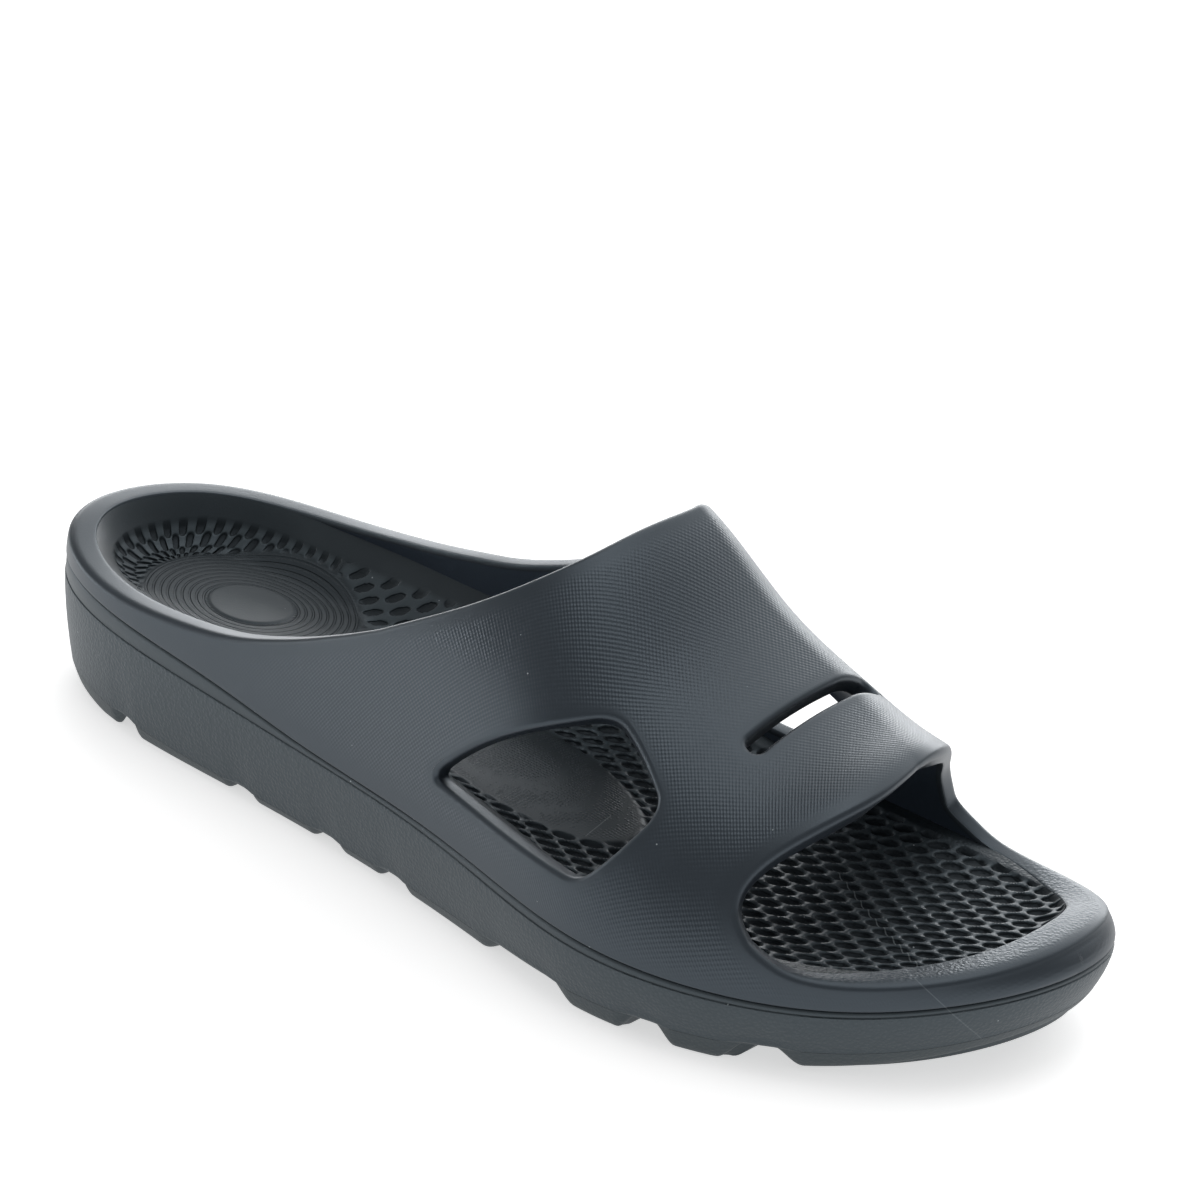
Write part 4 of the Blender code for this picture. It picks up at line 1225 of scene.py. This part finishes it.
@dataclass(frozen=True)
class Insole:
    """Cupped footbed with a sunken net of pits, heel rings and a smooth dome."""

    last: Last
    thickness: float = 5.5
    overlap: float = 0.15
    net_inset: float = 12.0
    net_inset_inner: float = 8.8
    net_sink: float = 0.4
    pit_depth: float = 0.95
    island_centre: Pair = (50.6, 0.0)
    island_radii: Pair = (11.5, 9.8)
    island_rise: float = 0.45
    rings_reach: Pair = (28.5, 23.5)
    ring_count: float = 9.0
    dome_centre: Pair = (149.0, -13.5)
    dome_radii: Pair = (38.0, 17.5)
    dome_turn: float = -9.0
    dome_rise: float = 1.3
    # Steps of the forefoot's net, along x and y, from one pit to its two neighbours
    lattice: tuple[Pair, Pair] = ((3.6, -2.15), (2.65, 4.65))
    fan_step: Pair = (1.85, 3.1)
    fan_inset: float = 17.0
    heel_narrowing: float = 1.1
    fan_narrowing: float = 0.45
    fan_depth: float = 0.6
    fan_end: Pair = (55.0, 58.0)
    # Where the heel's pits become the forefoot's, and where the net leaves the waist bare
    heel_end: Pair = (100.0, 170.0)
    waist_start: Pair = (62.0, 74.0)
    waist_end: Pair = (104.0, 118.0)
    waist_inset: Pair = (22.0, 25.0)
    ledge_grain: Pair = (205.0, 235.0)
    # Stations where the net widens on the inner side and at the toe
    inner_widening: Pair = (0.15, 0.40)
    toe_widening: Pair = (0.86, 0.96)
    # Soft edges of the rings, island and dome, as shares of their own reach
    rings_fade: Pair = (0.95, 1.0)
    ring_border: Pair = (1.0, 1.06)
    island_edge: Pair = (0.93, 1.02)
    dome_border: Pair = (0.97, 1.06)
    dome_slope: Pair = (0.2, 1.15)
    dome_pips: Pair = (0.85, 1.0)
    # Sum of the cosines at which a pit is at its deepest and at which it starts
    pit_slope: Pair = (-1.1, 0.3)
    angle_steps: int = 1240
    top_steps: int = 68
    # Station, footbed height over the groove in the middle and at its outer and inner edges
    bed_rows: Rows = (
        (0.00, -0.128, 0.185, 0.185),
        (0.10, -0.085, 0.150, 0.255),
        (0.20, -0.035, 0.225, 0.330),
        (0.30, 0.077, 0.370, 0.480),
        (0.40, 0.160, 0.397, 0.597),
        (0.50, 0.172, 0.323, 0.508),
        (0.60, 0.172, 0.266, 0.351),
        (0.75, 0.170, 0.245, 0.260),
        (0.84, 0.165, 0.225, 0.235),
        (0.90, 0.160, 0.190, 0.190),
        (0.95, 0.140, 0.185, 0.185),
        (1.00, 0.118, 0.185, 0.185),
    )
    cup: Pair = (-0.28, 0.52)

    def bed(self, x: Array) -> Array:
        """Height of the footbed along its middle."""
        station = np.clip(x / self.last.length, 0, 1)
        return self.last.groove(station) + self.last.heel_height * curve(self.bed_rows, 1, station)

    def edge_ring(self, angle: Array) -> Array:
        """Footbed's edge, just let into the upper's inner face."""
        last = self.last
        station = last.station_of(angle)
        shares = [curve(self.bed_rows, column, station) for column in (2, 3)]
        share = np.where(last.is_outer(angle), shares[0], shares[1])
        height = last.groove(station) + last.heel_height * share
        way = last.way_to_rise(angle, np.maximum(height - last.groove(station), 0))
        thick = last.wall(station)[..., None]
        wall = last.vault_point(angle, way) - last.vault_normal(angle, way) * thick
        return lifted(wall[..., :2] - last.inward(angle) * self.overlap, height)

    def ellipse(self, plan: Array, centre: Pair, radii: Pair, turn: float = 0.0) -> Array:
        """How far out plan points are from an ellipse's centre, 1 on the ellipse."""
        angle = math.radians(turn)
        offset = plan - np.array(centre)
        along = offset[..., 0] * math.cos(angle) + offset[..., 1] * math.sin(angle)
        across = offset[..., 1] * math.cos(angle) - offset[..., 0] * math.sin(angle)
        return np.hypot(along / radii[0], across / radii[1])

    def border_inset(self, angle: Array) -> Array:
        """Distance from the outline to the net: less on the inner side and at the toe."""
        station = self.last.station_of(angle)
        inner = smooth_step(-np.sin(angle), -0.3, 0.3) * smooth_step(station, *self.inner_widening)
        share = np.maximum(inner, smooth_step(station, *self.toe_widening))
        return self.net_inset + (self.net_inset_inner - self.net_inset) * share

    def relief(self, plan: Array, inset: Array, run: Array, start: Array) -> dict[str, Array]:
        """What the net, rings and dome do at plan points.

        The forefoot's pits lie on a skewed lattice, and the heel's on one that follows the
        outline; each pit is a dip of the sum of two or three cosines.

        Args:
            plan: plan points.
            inset: their distance inside the outline.
            run: length along the ring in the middle of the heel's net, to the point beside it.
            start: distance from the outline to the net there.

        Returns:
            The layers for the shader, and "sink", how far the surface is lowered.
        """
        x = plan[..., 0]
        basis = np.linalg.inv(np.array(self.lattice).T)
        field_a = x * basis[0, 0] + plan[..., 1] * basis[0, 1]
        field_b = x * basis[1, 0] + plan[..., 1] * basis[1, 1]
        radial = inset / self.fan_step[1]
        round_heel = run / self.fan_step[0]
        fan = 1 - smooth_step(x, *self.fan_end)
        in_fan = x < sum(self.fan_end) / 2
        net_a = np.where(in_fan, (radial + round_heel) / 2, field_a)
        net_b = np.where(in_fan, (radial - round_heel) / 2, field_b)
        seam = 1 - 4 * fan * (1 - fan)
        heelward = 1 - smooth_step(x, *self.heel_end)
        third = np.where(in_fan, 0.3, 1.0 + heelward)
        shift = np.where(in_fan, -self.fan_narrowing, -self.heel_narrowing * heelward)
        depth = self.pit_depth * (1 - (1 - self.fan_depth) * heelward)
        heel = self.ellipse(plan, self.island_centre, self.rings_reach)
        island = self.ellipse(plan, self.island_centre, self.island_radii)
        dome = self.ellipse(plan, self.dome_centre, self.dome_radii, self.dome_turn)
        border = smooth_step(inset - start, -0.5, 0.5)
        waist = smooth_step(x, *self.waist_start) * (1 - smooth_step(x, *self.waist_end))
        open_net = 1 - waist * smooth_step(inset, *self.waist_inset)
        pit = border * smooth_step(heel, *self.ring_border) * smooth_step(dome, *self.dome_border)
        pit = pit * open_net * seam
        waves = np.cos(TAU * net_a) + np.cos(TAU * net_b) + third * np.cos(TAU * (net_a - net_b))
        hollow = smooth_step(waves + shift, *self.pit_slope) * pit
        rings = smooth_step(island, *self.ring_border) * (1 - smooth_step(heel, *self.rings_fade))
        sink = self.net_sink * border + depth * hollow
        sink = sink - self.island_rise * (1 - smooth_step(island, *self.island_edge))
        sink = sink - self.dome_rise * (1 - smooth_step(dome, *self.dome_slope))
        between = self.rings_reach[0] - self.island_radii[0]
        phase = (heel * self.rings_reach[0] - self.island_radii[0]) / between * self.ring_count
        pips = 1 - smooth_step(dome, *self.dome_pips)
        grain = 0.8 * (1 - border) * smooth_step(x, *self.ledge_grain)
        return {"net_a": net_a, "net_b": net_b, "third": third, "shift": shift, "pit": pit,
                "ring": phase, "rings": rings, "sink": sink, "pips": pips, "grain": grain}

    def build(self) -> bpy.types.Object:
        """Build the footbed as closed rings from the underside up the side and over the top."""
        last = self.last
        angle = last.even_angles(self.angle_steps)
        station = last.station_of(angle)
        edge = self.edge_ring(angle)
        seat = last.wall(station) + GAP
        middle = last.middle(angle)
        shell = Shell(last, ("net_a", "net_b", "third", "shift", "pit",
                             "ring", "rings", "pips", "grain"))
        under = []
        for share in (1.0, 0.5, 0.0):
            plan = last.ring(angle, seat, 0)[:, :2] * (1 - share) + middle * share
            under.append(lifted(plan, self.bed(plan[:, 0]) - self.thickness))
        under.append(last.ring(angle, seat, last.groove(station)))
        under.append(edge)
        shell.add(closed(np.stack(under)))
        share = np.linspace(0, 1, self.top_steps + 1)[:, None, None]
        plan = edge[None, :, :2] * (1 - share) + middle[None] * share
        bed = self.bed(plan[..., 0])
        whole = 1 - smooth_step(0.0, *self.cup)
        cup = (edge[None, :, 2] - bed) * (1 - smooth_step(share[..., 0], *self.cup)) / whole
        outline = last.outline(angle)
        inset = np.linalg.norm(plan - outline[None], axis=-1)
        path = last.ring(angle, self.fan_inset, 0)
        steps = np.linalg.norm(np.diff(path, axis=0, append=path[:1]), axis=1)
        run = np.cumsum(steps) - steps[0]
        run = np.where(last.is_outer(angle), run, run - steps.sum())
        run = np.broadcast_to(run, inset.shape)
        layers = self.relief(plan, inset, run, self.border_inset(angle))
        sink = layers.pop("sink") * smooth_step(share[..., 0], 0.0, 0.06)
        top = lifted(plan, bed + cup - sink)
        shell.add(closed(top), **{name: closed(layer) for name, layer in layers.items()})
        made = shell.make("footbed")
        LOG.info("footbed: %d faces", len(made.data.polygons))
        return made

    def dress(self, piece: bpy.types.Object, foam: Foam) -> None:
        """Give the footbed its foam and its place on the frame."""
        piece.data.materials.append(foam.material())
        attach(piece, "root")
        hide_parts("insole")


@dataclass(frozen=True)
class Lugs:
    """Where the lugs stand along the shoe, between flex channels."""

    last: Last
    flare: float = 2.4
    widest_flank: float = 7.0
    flank_share: float = 0.36
    # Start and end station of each flex channel
    channels: Rows = (
        (0.128, 0.150),
        (0.270, 0.294),
        (0.371, 0.398),
        (0.450, 0.479),
        (0.582, 0.680),
        (0.740, 0.777),
        (0.826, 0.872),
    )

    def share(self, x: Array) -> Array:
        """1 under a lug and 0 in a flex channel, with soft flanks between them."""
        share = np.ones_like(x)
        for start, end in self.channels:
            low, high = start * self.last.length, end * self.last.length
            soft = min(self.widest_flank, (high - low) * self.flank_share)
            inside = stretch(x, (low - self.flare, low + soft), (high - soft, high + self.flare))
            share = share * (1 - inside)
        return share


@dataclass(frozen=True)
class Midsole:
    """Side wall with its groove, parting line and grain, and the beds over and under it."""

    last: Last
    draft: float = 2.8
    parting_step: float = 0.28
    groove_depth: float = 1.0
    edge_round: float = 1.6
    lug_edge_share: float = 0.1
    recess: float = 4.8
    plate: float = 1.5
    seam: float = 0.03
    thickness: float = 5.8
    wall_shares: tuple[float, ...] = (0.2, 0.4, 0.6, 0.8, 0.93, 0.985)
    least_band: float = 0.8
    angle_steps: int = 1000

    def section(self, station: Array) -> list[tuple[Array, Array, float]]:
        """Rows of the wall's section from its foot to the groove: inset, height and grain.

        The foot is a quarter round, the wall a shallow bow that leans out to the parting
        line, and the groove a quarter round that turns in under the upper.
        """
        last = self.last
        parting = last.parting(station)
        groove = last.groove(station)
        foot = last.wall_foot(station)
        level = np.zeros_like(foot)
        over_lug = Lugs(last).share(station * last.length)
        radius = self.edge_round * (1 - (1 - self.lug_edge_share) * over_lug)
        rows = [(self.recess + level, foot, 0.0)]
        for turn in np.linspace(0, math.pi / 2, 7):
            inset = self.draft + radius * (1 - math.sin(turn)) * 0.8
            rows.append((inset, foot + radius * (1 - math.cos(turn)), 1.0))
        low = foot + radius
        for share in self.wall_shares:
            inset = self.draft * (1 - share) ** 1.6
            rows.append((inset + level, low + (parting - low) * share, 1.0))
        band = np.maximum(groove - parting, self.least_band)
        back = self.parting_step * 0.6
        line = ((0.04, -0.15, 1.0), (self.parting_step, 0.05, 0.3), (back, 0.3, 0.15))
        for inset, rise, rough in line:
            rows.append((inset + level, parting + rise, rough))
        depth = np.minimum(self.groove_depth, 0.55 * band)
        for turn in np.linspace(0, math.pi / 2, 7):
            inset = back + self.groove_depth * (1 - math.cos(turn))
            rows.append((inset + level, groove - self.seam - depth * (1 - math.sin(turn)), 0.0))
        return rows

    def build(self) -> bpy.types.Object:
        """Build the midsole as closed rings, from the lower bed out, up the wall and back in."""
        last = self.last
        angle = last.even_angles(self.angle_steps)
        station = last.station_of(angle)
        middle = last.middle(angle)
        shell = Shell(last, ("grain",))
        rows, grain = [], []
        recess = last.ring(angle, self.recess, 0)[:, :2]
        for share in (1.0, 0.0):
            plan = recess * (1 - share) + middle * share
            rows.append(lifted(plan, last.wall_foot(plan[:, 0] / last.length) + self.plate + GAP))
            grain.append(0.0)
        for inset, height, rough in self.section(station):
            rows.append(last.ring(angle, inset, height))
            grain.append(rough)
        well = last.ring(angle, last.wall(station), 0)[:, :2]
        rows.append(lifted(well, last.groove(station) - self.seam))
        for share in (0.0, 1.0):
            plan = well * (1 - share) + middle * share
            x = plan[:, 0] / last.length
            bed = last.groove(x) + last.heel_height * curve(Insole.bed_rows, 1, np.clip(x, 0, 1))
            rows.append(lifted(plan, bed - self.thickness))
        grain += [0.0] * 3
        shell.add(closed(np.stack(rows)), grain=np.array(grain)[:, None])
        made = shell.make("midsole_body")
        LOG.info("midsole: %d faces", len(made.data.polygons))
        return made

    def dress(self, piece: bpy.types.Object, foam: Foam) -> None:
        """Give the midsole its foam and its place on the frame."""
        piece.data.materials.append(foam.material())
        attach(piece, "root")
        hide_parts("midsole")


@dataclass(frozen=True)
class Outsole:
    """Soft lugs between flex channels, under a plate let into the midsole."""

    last: Last
    recess: float = 4.8
    plate: float = 1.5
    side_inset: float = 2.85
    flank_inset: float = 1.8
    lug_draft: float = 1.9
    lug_round: float = 1.6
    seam: float = 0.03
    trough_width: float = 15.0
    trough_depth: float = 3.2
    trough_start: Pair = (0.13, 0.16)
    trough_end: Pair = (0.84, 0.87)
    angle_steps: int = 1100
    flank_steps: int = 14
    tread_steps: int = 29

    def trough(self, plan: Array, station: Array) -> Array:
        """Height of the lengthwise channel's roof over the floor."""
        centre = float(self.last.middle(self.last.angle_of(np.array([0.5])))[0, 1])
        across = np.abs(plan[..., 1] - centre)
        width = 1 - smooth_step(across, self.trough_width / 2 - 1, self.trough_width / 2 + 1)
        ends = stretch(station, self.trough_start, self.trough_end)
        return self.trough_depth * width * ends

    def build(self) -> bpy.types.Object:
        """Build the outsole as closed rings: plate, side of the lugs, and the tread under them."""
        last = self.last
        angle = last.even_angles(self.angle_steps)
        station = last.station_of(angle)
        middle = last.middle(angle)
        foot = last.wall_foot(station)
        lugs = Lugs(last)
        shell = Shell(last, ("grain",))
        rows, grain = [], []
        plate = last.ring(angle, self.recess + GAP, 0)[:, :2]
        for share in (1.0, 0.0):
            plan = plate * (1 - share) + middle * share
            rows.append(lifted(plan, last.wall_foot(plan[:, 0] / last.length) + self.plate))
        top = foot - self.seam
        rows.append(lifted(plate, top))
        grain += [0.0] * 3
        share = lugs.share(station * last.length)
        inset = self.side_inset + self.flank_inset * (1 - share)
        drop = (top - last.lug_foot(station)) * share
        for turn in np.linspace(0, math.pi / 2, self.flank_steps):
            low = 1 - (1 - math.sin(turn)) ** 1.25
            reach = inset + self.lug_draft * low * share + self.lug_round * (1 - math.cos(turn)) ** 1.6
            rows.append(last.ring(angle, reach, top - drop * low))
            grain.append(0.7)
        rim = rows[-1][:, :2]
        for share in np.linspace(0, 1, self.tread_steps + 1)[1:]:
            plan = rim * (1 - share) + middle * share
            at = plan[:, 0] / last.length
            high = last.wall_foot(at) - self.seam
            floor = last.lug_foot(at)
            lug = lugs.share(plan[:, 0])
            height = np.maximum(high + (floor - high) * lug, floor + self.trough(plan, at))
            rows.append(lifted(plan, np.minimum(height, high)))
            grain.append(0.5)
        shell.add(closed(np.stack(rows)), grain=np.array(grain)[:, None])
        made = shell.make("tread")
        LOG.info("outsole: %d faces", len(made.data.polygons))
        return made

    def dress(self, piece: bpy.types.Object, foam: Foam) -> None:
        """Give the outsole its foam and its place on the frame."""
        piece.data.materials.append(foam.material())
        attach(piece, "root")
        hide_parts("outsole")


@dataclass(frozen=True)
class SoftBox:
    """A soft light: its place and aim in metres, its width and height, and how it shines.

    Brightness is how bright its face looks, where white paper in full light is 1, and
    spread is the full angle of its beam in degrees.
    """

    name: str
    place: tuple[float, float, float]
    aim: tuple[float, float, float]
    size: Pair
    brightness: float
    spread: float = 180.0

    def hang(self) -> None:
        """Hang the light and turn it to its aim."""
        data = bpy.data.lights.new(self.name, "AREA")
        data.spread = math.radians(self.spread)
        data.shape = "RECTANGLE"
        data.size, data.size_y = self.size
        data.energy = self.brightness * math.pi * self.size[0] * self.size[1]
        lamp = bpy.data.objects.new(self.name, data)
        lamp.location = self.place
        lamp.rotation_mode = "QUATERNION"
        facing = Vector(self.aim) - Vector(self.place)
        lamp.rotation_quaternion = facing.to_track_quat("-Z", "Y")
        bpy.context.scene.collection.objects.link(lamp)


@dataclass(frozen=True)
class Studio:
    """Pale floor, soft lights and the camera at the photograph's angle."""

    last: Last
    azimuth: float = 37.83
    elevation: float = 24.78
    roll: float = 5.68
    distance: float = 1361.78
    lens: float = 176.49
    aside: float = 12.24
    above: float = 35.62
    target: tuple[float, float, float] = (145.0, 0.0, 25.0)
    sensor: float = 36.0
    clip: Pair = (0.05, 60.0)
    floor_size: float = 12.0
    floor_colour: Colour = (0.85, 0.85, 0.85)
    floor_glow: float = 0.58
    white: Colour = (1.0, 1.0, 1.0)
    sky_strength: float = 0.36
    boxes: tuple[SoftBox, ...] = (
        SoftBox("top_box", (0.0, 0.1, 2.2), (0.0, 0.1, 0.0), (1.4, 1.4), 1.8),
        SoftBox("back_box", (-0.25, 1.43, 1.22), (0.0, 0.0, 0.05), (2.6, 1.6), 1.2),
        SoftBox("low_box", (-0.9, 1.45, 0.32), (0.0, 0.0, 0.05), (1.9, 0.55), 5.5),
        SoftBox("heel_box", (-1.7, -0.45, 0.22), (0.0, 0.0, 0.05), (0.9, 0.42), 4.0),
        SoftBox("floor_box", (-0.75, -0.75, 0.6), (-0.75, -0.75, 0.0), (0.8, 0.8), 4.0, 50.0),
    )

    def camera(self) -> None:
        """Place the camera: back along its azimuth and elevation, slid aside, then rolled."""
        a, e, r = (math.radians(x) for x in (self.azimuth, self.elevation, self.roll))
        back = Vector((math.sin(a) * math.cos(e), -math.cos(a) * math.cos(e), math.sin(e)))
        right = Vector((math.cos(a), math.sin(a), 0))
        up = back.cross(right)
        across = right * math.cos(r) + up * math.sin(r)
        upright = up * math.cos(r) - right * math.sin(r)
        centre = self.last.centre()
        place = Vector(self.target) + back * self.distance + across * self.aside + upright * self.above
        place -= Vector((centre[0], centre[1], 0))
        data = bpy.data.cameras.new("camera")
        data.sensor_width = self.sensor
        data.lens = self.lens
        data.clip_start, data.clip_end = self.clip
        camera = bpy.data.objects.new("camera", data)
        turn = Matrix((across, upright, back)).transposed()
        camera.matrix_world = Matrix.Translation(place * MM) @ turn.to_4x4()
        bpy.context.scene.collection.objects.link(camera)
        bpy.context.scene.camera = camera

    def floor(self) -> None:
        """Lay the floor, a light table's plain pale sheet with a very fine tooth."""
        mesh = bpy.data.meshes.new("floor")
        half = self.floor_size / 2
        corners = [(-half, -half, 0), (half, -half, 0), (half, half, 0), (-half, half, 0)]
        mesh.from_pydata(corners, [], [(0, 1, 2, 3)])
        floor = bpy.data.objects.new("floor", mesh)
        bpy.context.scene.collection.objects.link(floor)
        graph = Graph("floor_paper")
        tooth = graph.noise(2.0)
        graph.put(graph.shader.inputs["Emission Color"], self.white)
        graph.put(graph.shader.inputs["Emission Strength"], self.floor_glow)
        paper = graph.finish(self.floor_colour, 0.85 + tooth * 0.05, tooth * 0.01)
        mesh.materials.append(paper)

    def build(self) -> None:
        """Set up the world, floor, lights and camera."""
        world = bpy.data.worlds.new("studio")
        world.use_nodes = True
        background = world.node_tree.nodes["Background"]
        background.inputs["Color"].default_value = (*self.white, 1.0)
        background.inputs["Strength"].default_value = self.sky_strength
        bpy.context.scene.world = world
        self.floor()
        for box in self.boxes:
            box.hang()
        bpy.context.scene.view_settings.view_transform = "Standard"
        self.camera()


def main() -> None:
    """Build the shoe piece by piece, dress it and set the studio."""
    logging.basicConfig(level=logging.INFO, format="%(name)s: %(message)s")
    length = (PACKED_HIGH.x - PACKED_LOW.x) / MM
    last = Last(length=round(length, 1))
    toe_scratch = Scratch((115.0, -12.0, 25.0), (138.0, -7.5, 13.0), (0.56, -0.72, 0.42),
                          strength=0.12)
    bed_scratches = (Scratch((76.0, 15.0, 24.0), (121.3, -9.0, 24.0), strength=0.4),
                     Scratch((32.0, -10.0, 26.0), (34.0, -22.0, 26.0), strength=0.25))
    shell = Foam("upper_foam", (0.006, 0.008, 0.012), (0.009, 0.012, 0.017), 0.44, wear=0.25,
                 scratches=(toe_scratch,))
    bed = Foam("footbed_foam", (0.007, 0.010, 0.012), (0.019, 0.024, 0.027), 0.46, gloss=0.48,
               scratches=bed_scratches, ridge_painted_highlight=1.0)
    body = Foam("midsole_foam", (0.012, 0.016, 0.017), (0.017, 0.021, 0.022), 0.50,
                scratches=(toe_scratch,))
    lugs = Foam("tread_foam", (0.014, 0.017, 0.017), (0.019, 0.023, 0.022), 0.55)
    pieces = ((Upper(last), shell), (Insole(last), bed), (Midsole(last), body), (Outsole(last), lugs))
    for piece, foam in pieces:
        piece.dress(piece.build(), foam)
    Studio(last).build()


if __name__ == "__main__":
    main()
